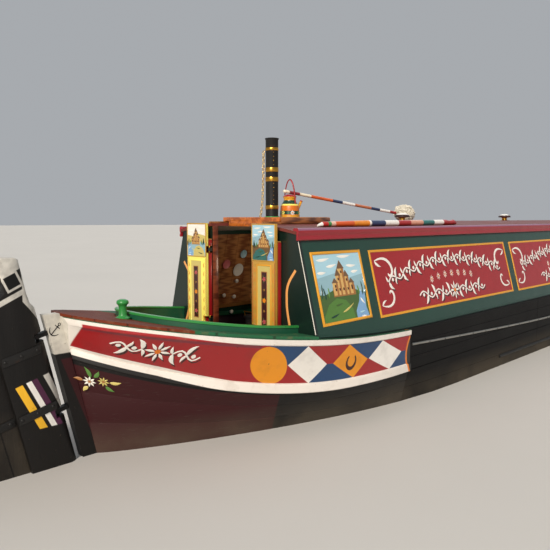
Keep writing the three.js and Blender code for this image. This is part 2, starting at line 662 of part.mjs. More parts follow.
// Rear doors stand open, folded flat against the bulkhead. The front board is full height and the
// back board stops lower, so that the closed leaf shuts under the slide.
const REAR_LEAF = {
  edge: DOORWAY.half + FIT, width: 284, low: DOORWAY.sill + 8, high: 2192,
  stand: 7, front: 25, back: 45, backHigh: 2040,
};
for (const [name, side] of SIDES) {
  const { edge, width, low, high, stand, front, back, backHigh } = REAR_LEAF;
  const [inner, outer] = [side * edge, side * (edge + width)].sort((a, b) => a - b);
  const face = BULKHEAD_X - stand;
  const leaf = join(
    block([face - back - front, inner, low], [face - back, outer, high]),
    block([face - back - 1, inner, low], [face, outer, backHigh]),
  );
  piece(`rear_door_${name}`, hung(leaf, REAR_HINGE, side), "yellow");
}

// Front doors are shut, on the bulkhead's fore face.
const FRONT_LEAF = { edge: FRONT_DOORWAY.half + FIT, width: 316, low: 706, high: 1966, stand: 7, thick: 35 };
for (const [name, side] of SIDES) {
  const { edge, width, low, high, stand, thick } = FRONT_LEAF;
  const [inner, outer] = [side * edge, side * (edge - width)].sort((a, b) => a - b);
  const face = FRONT_X + stand;
  const leaf = block([face, inner, low], [face + thick, outer, high]);
  piece(`front_door_${name}`, hung(leaf, FRONT_HINGE, side), "red");
}

// Inside the back cabin
const FLOOR = { z: 205, half: 900, from: BULKHEAD_X + WALL + FIT, to: FRONT_X - WALL - FIT };
const ON_FLOOR = FLOOR.z + GAP;
const floorStations = [...steps(FLOOR.from, STRAIGHT.from, 6), ...steps(4800, FLOOR.to, 4)];
piece("cabin_floor", loft(
  floorStations.map((x) => floorRing(x, FLOOR.z, FLOOR.z - BOTTOM - GAP, FLOOR.half)),
), "planks");

const STEP = { start: BULKHEAD_X + WALL + 8, half: 260, low: 690, high: 940, lowRun: 382, highRun: 182 };
piece("step_box", join(
  block([STEP.start, -STEP.half, ON_FLOOR], [STEP.start + STEP.lowRun, STEP.half, STEP.low]),
  block([STEP.start, 10 - STEP.half, STEP.low - 10], [STEP.start + STEP.highRun, STEP.half - 10, STEP.high]),
), "grained");

// The range stands on a cupboard, under the chimney.
const RANGE = {
  x: BULKHEAD_X + 980, y: 500, long: 230, deep: 170, foot: 640, plate: 1185, top: 1212, pipe: 62,
};
{
  const { x, y, long, deep, foot, plate, top, pipe } = RANGE;
  piece("range_shelf", block(
    [x - long - 10, y - deep - 10, ON_FLOOR],
    [x + long + 10, y + deep - 5, foot],
  ), "grained");
  piece("cooking_range", join(
    block([x - long, y - deep, foot + GAP], [x + long, y + deep, plate + 5]),
    block([x - long - 15, y - deep - 15, plate], [x + long + 15, y + deep + 15, top]),
    bar([x, y, plate + 15], [x, y, roofUnderZ(y + pipe) - 1], pipe, 14),
  ), "iron");
}

const BENCH = { from: BULKHEAD_X + 520, to: BULKHEAD_X + 1900, in: -280, out: -600, top: 700 };
piece("side_bench", block([BENCH.from, BENCH.out, ON_FLOOR], [BENCH.to, BENCH.in, BENCH.top]), "grained");
const CUPBOARD = { from: BENCH.to + 30, to: INNER.x - 10, in: 290, out: 690, top: 2000 };
piece("bed_cupboard", block(
  [CUPBOARD.from, CUPBOARD.in, ON_FLOOR],
  [CUPBOARD.to, CUPBOARD.out, CUPBOARD.top],
), "grained");

// Chimney in its collar
const CHIMNEY = { x: RANGE.x, y: RANGE.y, r: 67, wall: 5, top: 3070, rim: 7 };
const COLLAR = { r: 96, high: 74 };
const collarFoot = onRoof(CHIMNEY.y - COLLAR.r) + GAP;
piece("chimney_collar", turned([
  [0, 0], [COLLAR.r, 0], [COLLAR.r, 24], [COLLAR.r - 16, 34],
  [CHIMNEY.r + 9, COLLAR.high], [0, COLLAR.high],
], 20, CHIMNEY.x, CHIMNEY.y, collarFoot), "brass");
{
  const { x, y, r, wall, top, rim } = CHIMNEY;
  const foot = collarFoot + COLLAR.high + GAP;
  const rise = top - foot;
  const inner = r - wall;
  piece("chimney", turned([
    [0, 0], [r, 0], [r, rise - 12], [r + rim, rise - 6], [r + rim, rise],
    [inner, rise], [inner, 12], [0, 12],
  ], 20, x, y, foot), "iron");
}

// Water can with a short spout, and a hoop handle that stands across the boat.
const CAN = {
  x: BULKHEAD_X + 1255, y: 500, r: 114, lid: 42, lidZ: 310, hoop: 84, hoopR: 8, hoopFoot: 150, top: 470,
};
const canFoot = onRoof(CAN.y - CAN.r) + GAP;
const hoopCurve = new THREE.CatmullRomCurve3(steps(0, Math.PI, 8).map((angle) => new THREE.Vector3(
  CAN.x,
  CAN.y + CAN.hoop * Math.cos(angle),
  canFoot + CAN.hoopFoot + (CAN.top - CAN.hoopFoot) * Math.sin(angle),
)));
piece("water_can", join(
  turned([
    [0, 0], [CAN.r, 0], [CAN.r, 14], [CAN.r - 14, 185], [70, 232], [64, 258], [76, 288],
    [CAN.lid, CAN.lidZ], [0, CAN.lidZ],
  ], 18, CAN.x, CAN.y, canFoot),
  bar([CAN.x + 80, CAN.y, canFoot + 90], [CAN.x + 190, CAN.y, canFoot + 245], 22, 10, 14),
  tube(hoopCurve, CAN.hoopR, 16, 8),
), "green");

// The mop lies with its head on the roof and its handle through the hoop, on the can's lid.
const MOP = { headX: BULKHEAD_X + 3010, y: 300, half: [190, 140, 112], handleR: 18, tail: 90, clear: 2.5 };
{
  const [halfX, halfY, halfZ] = MOP.half;
  const roofSlope = onRoof(MOP.y) - onRoof(MOP.y + 1);
  const centreZ = onRoof(MOP.y) + Math.hypot(halfZ, halfY * roofSlope) + GAP;
  const end = new THREE.Vector3(MOP.headX, MOP.y, centreZ);
  const lidCentre = new THREE.Vector3(CAN.x, CAN.y, canFoot + CAN.lidZ);
  const fall = (lidCentre.z + MOP.handleR - end.z) / (end.x - lidCentre.x);
  const above = CAN.lid * fall + MOP.handleR * Math.hypot(1, fall) + GAP;
  const onLid = lidCentre.setZ(lidCentre.z + above);
  const towardsHead = end.clone().sub(onLid).normalize();
  const start = onLid.clone().addScaledVector(towardsHead, -MOP.tail);
  piece("mop_handle", bar(start.toArray(), end.toArray(), MOP.handleR, 12), "orange");
  piece("mop_head", new THREE.SphereGeometry(1, 16, 10).scale(halfX, halfY, halfZ)
    .translate(MOP.headX + halfX + MOP.clear, MOP.y, centreZ), "rag");
}

// The tiller bar is unshipped and lies on the roof near its edge.
const TILLER = { from: BULKHEAD_X + 480, to: BULKHEAD_X + 2950, y: -560, bow: 30, r: 29 };
{
  const onSlope = 1 / Math.cos(Math.atan(onRoof(TILLER.y) - onRoof(TILLER.y - 1)));
  const points = steps(0, 1, 8).map((t) => {
    const y = TILLER.y - TILLER.bow * Math.sin(Math.PI * t);
    return new THREE.Vector3(lerp(TILLER.from, TILLER.to, t), y, onRoof(y) + TILLER.r * onSlope + GAP);
  });
  piece("tiller_bar", tube(new THREE.CatmullRomCurve3(points), TILLER.r, 16, 10), "orange");
}

// Studs for the lines stand on the decks, which slope. Each is turned from below the deck's surface
// and cut off along it.
const deckTop = (x) => rimZ(x) + GAP + DECK.thick;
const STUD_ROOT = 40;
function onDeck(shape) {
  const [half, deep] = [200, 200];
  const under = loft(RIM_X.map((x) => {
    const [low, high] = [deckTop(x) - deep, deckTop(x) + GAP];
    return [[x, -half, low], [x, -half, high], [x, half, high], [x, half, low]];
  }));
  return cut(shape, under);
}
const STERN_STUD_X = BULKHEAD_X - 1145;
piece("stern_stud", onDeck(turned([
  [0, -STUD_ROOT], [58, -STUD_ROOT], [58, 8], [34, 22], [30, 100], [46, 118], [46, 136], [28, 150], [0, 150],
], 16, STERN_STUD_X, 0, deckTop(STERN_STUD_X))), "green");

// The fore stud is a T, with a bar across its top.
const FORE_STUD = { x: 10350, foot: 70, r: 32, high: 190, barZ: 145, barHalf: 120, barR: 22 };
{
  const { x, foot, r, high, barZ, barHalf, barR } = FORE_STUD;
  const z = deckTop(x);
  const profile = [[0, -STUD_ROOT], [foot, -STUD_ROOT], [foot, 14], [r, 26], [r, high], [0, high]];
  piece("fore_stud", onDeck(join(
    turned(profile, 16, x, 0, z),
    bar([x, -barHalf, z + barZ], [x, barHalf, z + barZ], barR, 12),
  )), "iron");
}

// Rudder: a wide raked stock whose top is the ram's head with the tiller's mortise, and a planked blade.
const STOCK = { half: 65, nose: 30, noseHalf: 20, shoulder: -25, depth: 300, footZ: 90 };
const MORTISE = { half: 27, low: 1836, high: 1904 };
const BLADE = { half: 32, topZ: 1690 };
const fromBulkhead = (points) => points.map(([aft, z]) => [BULKHEAD_X - aft, z]);

function rudderStock() {
  const { half, nose, noseHalf, shoulder, depth, footZ } = STOCK;
  const section = [
    [nose, noseHalf], [shoulder, half], [-depth, half],
    [-depth, -half], [shoulder, -half], [nose, -noseHalf],
  ];
  const body = rakeBack(planSlab(section, upAxis(-200), upAxis(2300)));
  const profile = sideSlab(fromBulkhead([
    [1000, footZ], [1700, 1603], [1800, 1603], [1880, 1672], [1905, 1740], [1952, 1968], [1985, 1981],
    [2062, 1981], [2088, 1958], [2052, 1748], [2110, BLADE.topZ], [2600, BLADE.topZ], [2600, footZ],
  ]).reverse(), -4 * PAST, 4 * PAST);
  const notches = GUDGEONS_Z.map((z) => {
    const low = upAxis(z) - NOTCH.height / 2;
    return rakeBack(block(
      [-NOTCH.depth, -NOTCH.half, low],
      [NOTCH.ahead, NOTCH.half, low + NOTCH.height],
    ));
  });
  const pins = GUDGEONS_Z.map((z) => {
    const reach = NOTCH.height / 2 + PIN_END;
    return rakeBack(bar([0, 0, upAxis(z) - reach], [0, 0, upAxis(z) + reach], LUG.pin, 12));
  });
  const mortise = rakeBack(block(
    [PAST - depth, -MORTISE.half, upAxis(MORTISE.low)],
    [nose + PAST, MORTISE.half, upAxis(MORTISE.high)],
  ));
  return join(cut(common(body, profile), ...notches, mortise), ...pins);
}
piece("rudder_stock", rudderStock(), "black");

function rudderBlade() {
  const { depth, footZ } = STOCK;
  const frontAt = (z) => {
    const [x0, , z0] = rudderPoint(depth + GAP, 0, 0);
    return x0 - (z - z0) * STERN.rake;
  };
  const trailing = fromBulkhead([
    [2330, 1560], [2560, 1290], [2720, 980], [2785, 760],
    [2800, 560], [2780, 330], [2700, 170], [2560, footZ],
  ]);
  const outline = [[frontAt(footZ), footZ], [frontAt(BLADE.topZ), BLADE.topZ], ...trailing];
  return sideSlab(outline.reverse(), -BLADE.half, BLADE.half);
}
piece("rudder_blade", rudderBlade(), "black");

export default boat;
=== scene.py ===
# %% [markdown]
# # A towed narrowboat with its paintwork
# The boat's solids come packed from the part's source. They are right in size, but each has knife
# sharp edges and one flat colour. This lesson keeps them as a fixed frame and builds the visible
# pieces round them: finer shells, mouldings, painted ornament, ironwork and finishes.
# Everything is in metres, +X to the fore end, +Y to port, +Z up, and the water lies at z = 0.5.

# %% Load the solids
from math import atan, atan2, copysign, cos, hypot, pi, radians, sin, sqrt, tau

import bmesh
import bpy
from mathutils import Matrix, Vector


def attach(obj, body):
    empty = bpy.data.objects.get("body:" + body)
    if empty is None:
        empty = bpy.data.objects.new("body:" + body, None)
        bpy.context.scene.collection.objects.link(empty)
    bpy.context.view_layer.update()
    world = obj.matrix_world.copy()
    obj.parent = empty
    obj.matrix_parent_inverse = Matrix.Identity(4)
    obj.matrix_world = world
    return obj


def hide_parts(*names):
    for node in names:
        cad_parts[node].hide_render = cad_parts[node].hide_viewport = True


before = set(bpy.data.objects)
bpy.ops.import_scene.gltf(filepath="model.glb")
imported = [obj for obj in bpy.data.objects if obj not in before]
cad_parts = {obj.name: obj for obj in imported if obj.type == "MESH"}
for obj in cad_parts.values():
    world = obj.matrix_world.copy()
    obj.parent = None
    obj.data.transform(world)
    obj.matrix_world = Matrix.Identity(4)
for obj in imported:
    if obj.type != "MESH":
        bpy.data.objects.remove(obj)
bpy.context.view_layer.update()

scene = bpy.context.scene

# %% [markdown]
# ## The viewpoint
# The picture was taken from the bank, close to the rudder and as high as the cabin roof. The
# camera's place and its 40 mm lens were worked out from the corners of the panels and doors.

# %% Camera
def shown(name, data):
    made = bpy.data.objects.new(name, data)
    scene.collection.objects.link(made)
    return made

lens = bpy.data.cameras.new("view from the bank")
lens.lens = 39.9
lens.clip_end = 500
lens.shift_x, lens.shift_y = -0.002, -0.008
camera = shown("camera", lens)
camera.location = (-12.075, -4.058, 2.238)
camera.rotation_euler = (radians(85.07), 0, radians(-45.68))
scene.camera = camera

# %% [markdown]
# ## Light
# Plain studio light: a large soft warm sun from astern, two weak ones, so that a 22 m boat has no
# dark side, a lamp in the back cabin and a pale sky. The plain view transform shows paint as strong
# as the chart colours say, which suits a boat painted to be seen.

# %% Sun lamps and sky
def sun(name, strength, softness, travel, colour):
    lamp = bpy.data.lights.new(name, "SUN")
    lamp.energy, lamp.angle, lamp.color = strength, radians(softness), colour
    holder = shown(name, lamp)
    holder.rotation_euler = Vector(travel).to_track_quat("-Z", "Y").to_euler()

sun("key light", 3.35, 9, (0.76, 0.42, -0.5), (1, 0.91, 0.81))
sun("fill light", 0.6, 60, (-0.75, -0.55, -0.6), (0.9, 0.95, 1))
sun("low light", 0.5, 40, (0.85, 0.5, -0.12), (1, 0.96, 0.9))
bulb = bpy.data.lights.new("cabin lamp", "POINT")
bulb.energy, bulb.shadow_soft_size, bulb.color = 5, 0.12, (1, 0.86, 0.66)
shown("cabin lamp", bulb).location = (-7.55, -0.35, 1.8)
sky = bpy.data.worlds.new("pale sky")
scene.world = sky
sky.use_nodes = True
for key, value in (("Color", (0.86, 0.9, 0.95, 1)), ("Strength", 0.45)):
    sky.node_tree.nodes["Background"].inputs[key].default_value = value
scene.view_settings.view_transform = "Standard"
print("a warm sun, two weak fills and a pale sky light the boat")

# %% [markdown]
# ## A small kit for finishes
# Every finish is a node tree. A small class wraps a node's output and lets Python's own signs add
# the Math nodes, so `mask * 0.5 + 0.2` is a tree. Any other node comes from `node`, which sets its
# settings first and its sockets after, and hands back one output.

# %% Wires between shader nodes
class Wire:
    """An output of a node. Sums on it add Math nodes to the same tree."""

    def __init__(self, tree, socket=None):
        self.tree, self.socket = tree, socket

    def plug(self, sockets, values):
        for key, value in values.items():
            if isinstance(value, Wire):
                self.tree.links.new(value.socket, sockets[key])
            else:
                sockets[key].default_value = value

    def node(self, kind, settings=None, inputs=None, output=0):
        made = self.tree.nodes.new(kind)
        for key, value in (settings or {}).items():
            setattr(made, key, value)
        self.plug(made.inputs, inputs or {})
        return Wire(self.tree, made.outputs[output])

    def math(self, operation, *values):
        return self.node("ShaderNodeMath", {"operation": operation}, dict(enumerate(values)))

    def __add__(self, other): return self.math("ADD", self, other)
    def __radd__(self, other): return self.math("ADD", other, self)
    def __sub__(self, other): return self.math("SUBTRACT", self, other)
    def __rsub__(self, other): return self.math("SUBTRACT", other, self)
    def __mul__(self, other): return self.math("MULTIPLY", self, other)
    def __rmul__(self, other): return self.math("MULTIPLY", other, self)
    def __abs__(self): return self.math("ABSOLUTE", self)

    def least(self, other): return self.math("MINIMUM", self, other)
    def most(self, other): return self.math("MAXIMUM", self, other)

    def above(self, edge, soft=0.004):
        """1 where the value is over the edge, 0 where it is under, with a soft step between."""
        return ((self - edge) * (1 / soft) + 0.5).most(0).least(1)

    def below(self, edge, soft=0.004):
        return 1 - self.above(edge, soft)

    def seams(self, board, edge, soft=0.012):
        """1 on the lines between boards as wide as told."""
        across = self * (1 / board)
        return abs(across.math("FRACT", across) - 0.5).above(edge, soft)

    def axis(self, name):
        return self.node("ShaderNodeSeparateXYZ", None, {0: self}, name)

    def stretched(self, x, y, z):
        return self.node("ShaderNodeVectorMath", {"operation": "MULTIPLY"}, {0: self, 1: (x, y, z)})

    def noise(self, scale, detail):
        return self.node("ShaderNodeTexNoise", None,
            {"Vector": self, "Scale": scale, "Detail": detail, "Roughness": 0.55})

    def over(self, under, mask):
        """This colour where the mask is 1, the one under it where the mask is 0."""
        return mask.shade(under, self)

    def shade(self, low, high):
        """Colour low where this mask is 0, colour high where it is 1."""
        return self.node("ShaderNodeMix", {"data_type": "RGBA"}, {0: self, 6: low, 7: high}, 2)

    def tones(self, code, low=1, high=1):
        """A chart colour, from its low share where this mask is 0 to its high one where it is 1."""
        return self.shade(dimmed(code, low), dimmed(code, high))

    def painted(self, code, mask, share=1):
        """This colour with a chart colour brushed over it where the mask is 1."""
        return mask.shade(self, dimmed(code, share))

# %% [markdown]
# A colour is the six hex digits of a paint chart, turned into Blender's linear light. `recipe`
# starts a finish, and `cover` plugs what was worked out into the Principled shader.

# %% Colours and recipes
def dimmed(code, share=1):
    parts = [int(code[i:i + 2], 16) / 255 for i in (0, 2, 4)]
    return tuple(share * (c / 12.92 if c <= 0.04045 else ((c + 0.055) / 1.055) ** 2.4)
        for c in parts) + (1,)

def recipe(name):
    made = bpy.data.materials.new(name)
    made.use_nodes = True
    return made, Wire(made.node_tree).node("ShaderNodeTexCoord", output="Object")

def own_map(place):
    return place.node("ShaderNodeUVMap", {"uv_map": "UVMap"})

def cover(made, colour, rough, height=None, depth=0.001, metal=0, coat=0, mirror=0.5):
    values = {"Base Color": colour, "Roughness": rough, "Metallic": metal, "Coat Weight": coat,
        "Coat Roughness": 0.08, "Specular IOR Level": mirror}
    if height is not None:
        values["Normal"] = height.node("ShaderNodeBump", None, {"Height": height, "Distance": depth})
    colour.plug(made.node_tree.nodes["Principled BSDF"].inputs, values)
    return made

# %% [markdown]
# ## Finishes: coach paint
# Most of the boat is brushed gloss paint: faint brush lines, slow changes of depth where it has
# faded, dust that kills the gloss in patches, and small chips down to the undercoat. One function
# mixes all of these, so a colour differs only in its chart colour and how tired it is.

# %% Gloss paint
def gloss(name, code, rough=0.3, tired=0.5, under="6d5a45"):
    made, place = recipe(name)
    cloud = place.noise(0.9, 4)
    brushed = place.stretched(6, 6, 60).noise(4, 3)
    dust = place.noise(7, 5)
    colour = cloud.tones(code, 0.8, 1.1)
    colour = colour.painted(code, dust.above(0.62, 0.25) * (0.5 * tired), 0.62)
    chips = place.noise(38, 6).above(0.71, 0.02) * tired
    colour = colour.painted(under, chips * 0.7)
    height = brushed * 0.5 + dust * 0.6 - chips * 0.6
    return cover(made, colour, rough + dust * (0.28 * tired) + chips * 0.3, height, 0.0012, coat=0.15)

# %% [markdown]
# ## Finishes: blacking, iron, brass, wood
# The hull is blacked with bitumen: nearly matt, with dusty patches and long scratches from lock
# walls. Iron is rougher still, and brass is rubbed bright but never evenly. Inside woodwork is
# grained: a brown scumble combed over a light ground, then varnished.

# %% Blacking and metals
WATER_Z = 0.5

def scratches(place):
    return place.stretched(0.8, 6, 42).noise(3, 4).above(0.66, 0.05)

def tide_mark(colour, place, cloud):
    """Dried mud on the planks, up to a hand above the water."""
    low = place.axis("Z").below(WATER_Z + 0.16, 0.2) * cloud.above(0.42, 0.3)
    return colour.painted("5b5142", low * 0.45)

def blacking(name):
    made, place = recipe(name)
    cloud, fine, scratch = place.noise(1.6, 5), place.noise(60, 4), scratches(place)
    colour = cloud.above(0.5, 0.4).tones("070606", 0.7, 1.6)
    colour = tide_mark(colour.painted("28221e", scratch * 0.32), place, cloud)
    height = fine * 0.4 + cloud - scratch * 0.3
    return cover(made, colour, 0.5 + cloud * 0.28 + scratch * 0.15, height, 0.002, mirror=0.2)

def iron(name):
    made, place = recipe(name)
    cast, cloud = place.noise(150, 3), place.noise(9, 4)
    rust = cloud.above(0.66, 0.1)
    colour = cloud.tones("1b1a19", 0.8, 1.5).painted("4e2f1d", rust * 0.35)
    return cover(made, colour, 0.5 + rust * 0.25, cast + cloud * 0.5, 0.0008, metal=0.35)

def polished(name, code, rough=0.2):
    made, place = recipe(name)
    cloud = place.noise(14, 4)
    rubbed = place.stretched(1, 1, 30).noise(22, 2)
    colour = cloud.tones(code, 0.72, 1.12)
    return cover(made, colour, rough + cloud * 0.22, rubbed, 0.0003, metal=1)

# %% Wood, deck and glass
def grained(name, light="a5673a", dark="4a2412"):
    made, place = recipe(name)
    combed = place.node("ShaderNodeTexWave", {"wave_type": "BANDS"},
        {"Vector": place.stretched(2.2, 26, 26), "Scale": 0.6, "Distortion": 7, "Detail": 3,
        "Detail Scale": 1.6}, 1)
    pores = place.stretched(6, 160, 160).noise(1, 3)
    colour = (combed * 0.75 + pores * 0.2).shade(dimmed(dark), dimmed(light))
    return cover(made, colour, 0.3 + pores * 0.12, combed * 0.3 + pores, 0.0006, coat=0.35)

def planked(name, code, board, axis, rough=0.6):
    """Boards side by side, with dark seams every board's width along the axis."""
    made, place = recipe(name)
    across = place.axis(axis)
    seam = across.seams(board, 0.478)
    across *= 1 / board
    each = place.node("ShaderNodeTexWhiteNoise", {"noise_dimensions": "1D"},
        {"W": across.math("FLOOR", across)})
    cloud = place.noise(2.2, 5)
    grain = place.stretched(*((4, 60, 4) if axis == "X" else (4, 60, 60))).noise(2, 4)
    light = cloud.tones(code, 0.75, 1.3)
    colour = light.painted(code, each * 0.45, 0.66)
    colour = colour.painted("2b211a", seam * 0.85 + grain.above(0.62, 0.1) * 0.25)
    return cover(made, colour, rough + cloud * 0.2, grain * 0.5 - seam * 2, 0.0022, mirror=0.35)

def glazing(name):
    made, place = recipe(name)
    cloud = place.noise(1.7, 3)
    # The panes are opaque and nearly black: painted shade for the unlit cabin behind them. Their gloss and
    # reflections are real.
    colour = cloud.shade(dimmed("090c0e"), dimmed("1c262b"))
    return cover(made, colour, 0.04 + place.noise(5, 4).above(0.6, 0.2) * 0.08, coat=0.6)

# %% The paint shelf
PAINT = {"black": blacking("hull blacking"), "iron": iron("black iron"), "glass": glazing("window glass"),
    "brass": polished("brass", "c9963c"), "chain": polished("bright brass", "f0cf86", 0.3),
    "steel": polished("bright steel", "b9b6ae", 0.28),
    "wood": grained("grained wood"), "mahogany": grained("dark grained wood", "8a4428", "451a10"),
    # The lining's graining is lighter than the rest: painted light, for the sun that falls through the
    # doorway on the cabin's inner boards.
    "lining": grained("light grained wood", "c98c54", "7d4628"),
    "hatch": grained("varnished board", "c8702a", "8a4014"),
    "deck": planked("deck paint", "5c2a22", 0.16, "Y"),
    "oxide": planked("roof oxide", "71332a", 0.19, "Y", 0.5),
    "timber": planked("bottom timber", "4a3a2c", 0.2, "X", 0.75),
    "floor": planked("cabin floor", "6b4a30", 0.12, "Y", 0.5)}
COACH_PAINTS = {"green": ("123a2d", 0.3, 0.4), "deckgreen": ("16553a", 0.4, 0.5),
    "bottle": ("0b1f18", 0.3, 0.4), "bright": ("2f8a3f", 0.3, 0.4), "red": ("9c151a", 0.34, 0.4),
    "rail": ("961a24", 0.34, 0.5), "maroon": ("310d0b", 0.4, 0.7), "orange": ("dc7210", 0.36, 0.4),
    "peach": ("e8a25a", 0.4, 0.3), "tan": ("a06c37", 0.42, 0.5), "yellow": ("dc9a22", 0.36, 0.35),
    "ochre": ("c2943a", 0.38, 0.6), "lemon": ("f6e96c", 0.38, 0.3), "blue": ("1d4a8e", 0.36, 0.4),
    "purple": ("3b2735", 0.45, 0.7), "rag": ("ddd6c4", 0.9, 0.4),
    "cream": ("ece6d8", 0.34, 0.45, "8d7b62"), "white": ("f1ede4", 0.36, 0.3, "9a8c74")}
# Of these, mauve serves as painted light: the highlight along the handrails' tops.
ARTIST_PAINTS = {"leaf": "4f7a30", "moss": "43602a", "teal": "2c665f", "crimson": "8e1626",
    "pink": "d9787c", "sand": "d0a763", "roof": "6f5237", "umber": "6a4f2a", "straw": "cbb96a",
    "skyblue": "a8cfdd", "stream": "7ea6cc", "haze": "8fb3bd", "mauve": "8f5f78", "shadow": "3a1512"}
for key, code in ARTIST_PAINTS.items():
    COACH_PAINTS[key] = (code, 0.4, 0.2)
for key, (code, rough, tired, *under) in COACH_PAINTS.items():
    PAINT[key] = gloss(key + " paint", code, rough, tired, *under)
print(len(PAINT), "paints are mixed")

# %% [markdown]
# ## A kit for shapes
# Boat parts are mostly boards, bars, turned pieces and long skins. `Build` collects corners and
# faces, each face with its own paint, and turns them into one finished piece: doubles merged, faces
# outward, sharp edges eased with a real bevel, which catches a line of light, and smooth shading.

# %% Building pieces
def settle(name, mesh, replaces=(), body="hull"):
    """A finished mesh becomes a piece on a body, and may stand for solids."""
    made = shown(name, mesh)
    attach(made, body)
    if replaces:
        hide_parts(*replaces)
    return made

class Build:
    def __init__(self):
        self.points, self.faces, self.paints, self.maps = [], [], [], []

    def face(self, corners, paint, uv=None):
        first = len(self.points)
        self.points += [tuple(c) for c in corners]
        self.faces.append(tuple(range(first, first + len(corners))))
        self.paints.append(paint)
        self.maps.append(uv or [(0, 0)] * len(corners))

    def skin(self, rings, paint, closed=True, uv=None):
        """Quads between rings of equally many points. paint: one name, or one for each row."""
        count = len(rings[0])
        for r in range(len(rings) - 1):
            for i in range(count if closed else count - 1):
                j = (i + 1) % count
                name = paint if isinstance(paint, str) else paint[i]
                marks = uv and [uv(r, i), uv(r, i + 1), uv(r + 1, i + 1), uv(r + 1, i)]
                self.face([rings[r][i], rings[r][j], rings[r + 1][j], rings[r + 1][i]], name, marks)

    def loft(self, rings, paint, ends=None, uv=None):
        self.skin(rings, paint, True, uv)
        end = ends or (paint if isinstance(paint, str) else paint[0])
        self.face(rings[0], end)
        self.face(rings[-1], end)

    def box(self, low, high, paint):
        (a, b, c), (d, e, f) = low, high
        self.loft([[(x, b, c), (x, e, c), (x, e, f), (x, b, f)] for x in (a, d)], paint)

    def slab(self, outline, low, high, paint, lay):
        """A flat outline given a thickness. lay(u, v, h) puts its points in place."""
        self.loft([[lay(u, v, h) for u, v in outline] for h in (low, high)], paint)

    def turned(self, profile, at, paint, sides=32, lean=(0, 0, 1)):
        """A shape turned on a lathe: (radius, height) pairs round the lean axis through at."""
        turn = Vector(lean).to_track_quat("Z", "Y").to_matrix()
        at = Vector(at)
        rings = []
        for k in range(sides):
            a = tau * k / sides
            rings.append([at + turn @ Vector((r * cos(a), r * sin(a), h)) for r, h in profile])
        self.skin(rings + rings[:1], paint, False)

    def rod(self, path, radius, paint, sides=12, uv=None, flat=1):
        """A round bar along points. radius: one number, or one for each point."""
        path = [Vector(p) for p in path]
        side = None
        rings = []
        for k, point in enumerate(path):
            ahead = (path[min(k + 1, len(path) - 1)] - path[max(k - 1, 0)]).normalized()
            if side is None:
                side = ahead.orthogonal().normalized()
            side = (side - ahead * side.dot(ahead)).normalized()
            other = ahead.cross(side)
            r = radius if isinstance(radius, (int, float)) else radius[k]
            turns = [tau * i / sides for i in range(sides)]
            rings.append([point + side * (r * cos(t)) + other * (r * flat * sin(t)) for t in turns])
        self.loft(rings, paint, uv=uv)

    def merged(self, name):
        """The faces as one mesh in a mesh editor, with paints, map, no doubles and outward faces."""
        mesh = bpy.data.meshes.new(name)
        mesh.from_pydata(self.points, [], self.faces)
        names = sorted(set(self.paints))
        for paint in names:
            mesh.materials.append(PAINT[paint])
        mesh.polygons.foreach_set("material_index", [names.index(p) for p in self.paints])
        layer = mesh.uv_layers.new(name="UVMap")
        layer.data.foreach_set("uv", [n for marks in self.maps for pair in marks for n in pair])
        shape = bmesh.new()
        shape.from_mesh(mesh)
        bmesh.ops.remove_doubles(shape, verts=shape.verts, dist=2e-5)
        bmesh.ops.dissolve_degenerate(shape, edges=shape.edges, dist=1e-5)
        bmesh.ops.recalc_face_normals(shape, faces=shape.faces)
        return mesh, shape

    def bare(self, name):
        """An object with the faces as they are, with no part in the boat yet."""
        mesh, shape = self.merged(name)
        shape.to_mesh(mesh)
        shape.free()
        return shown(name, mesh)

    def piece(self, name, slot, replaces=(), ease=0, sharp=None, steps=2, body="hull"):
        mesh, shape = self.merged(name)
        limit = radians(sharp or (32 if ease else 50))
        if ease:
            edges = [e for e in shape.edges if len(e.link_faces) == 2 and e.calc_face_angle(0) > limit]
            bmesh.ops.bevel(shape, geom=edges, offset=ease, segments=steps, profile=0.5, affect="EDGES",
                clamp_overlap=True)
        for face in shape.faces:
            face.smooth = True
        for edge in shape.edges:
            edge.smooth = len(edge.link_faces) == 2 and edge.calc_face_angle(0) < limit
        shape.to_mesh(mesh)
        shape.free()
        return settle(name, mesh, replaces, body)

def lerp(a, b, t):
    return a + (b - a) * t

def spread(a, b, count):
    return [lerp(a, b, i / count) for i in range(count + 1)]

def smooth_line(points, count):
    """A Catmull-Rom curve through points, count steps for each stretch."""
    pts = [Vector(p) for p in points]
    pts = [pts[0] * 2 - pts[1]] + pts + [pts[-1] * 2 - pts[-2]]
    out = []
    for a, b, c, d in zip(pts, pts[1:], pts[2:], pts[3:]):
        for k in range(count):
            t = k / count
            out.append(0.5 * (2 * b + (c - a) * t + (2 * a - 5 * b + 4 * c - d) * t ** 2
                + (3 * b - a - 3 * c + d) * t ** 3))
    return out + [pts[-2]]

SIDES = {"port": 1, "starboard": -1}      # +Y and -Y

def dress(node, paint):
    """A solid whose shape is right keeps it, and gets its finish."""
    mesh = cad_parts[node].data
    mesh.materials.clear()
    mesh.materials.append(PAINT[paint])

# %% [markdown]
# ## The hull's form
# A narrowboat hull is parallel for most of its length, so its form is in the two ends. Four levels
# run along each side: the gunwale, the lower edge of the painted top bend, the waterline and the
# chine. At the ends each curves in to the post by a power of a sine, and the upper two rise in a
# parabola, the sheer. The same numbers made the solids, so skins made from them need no fitting.

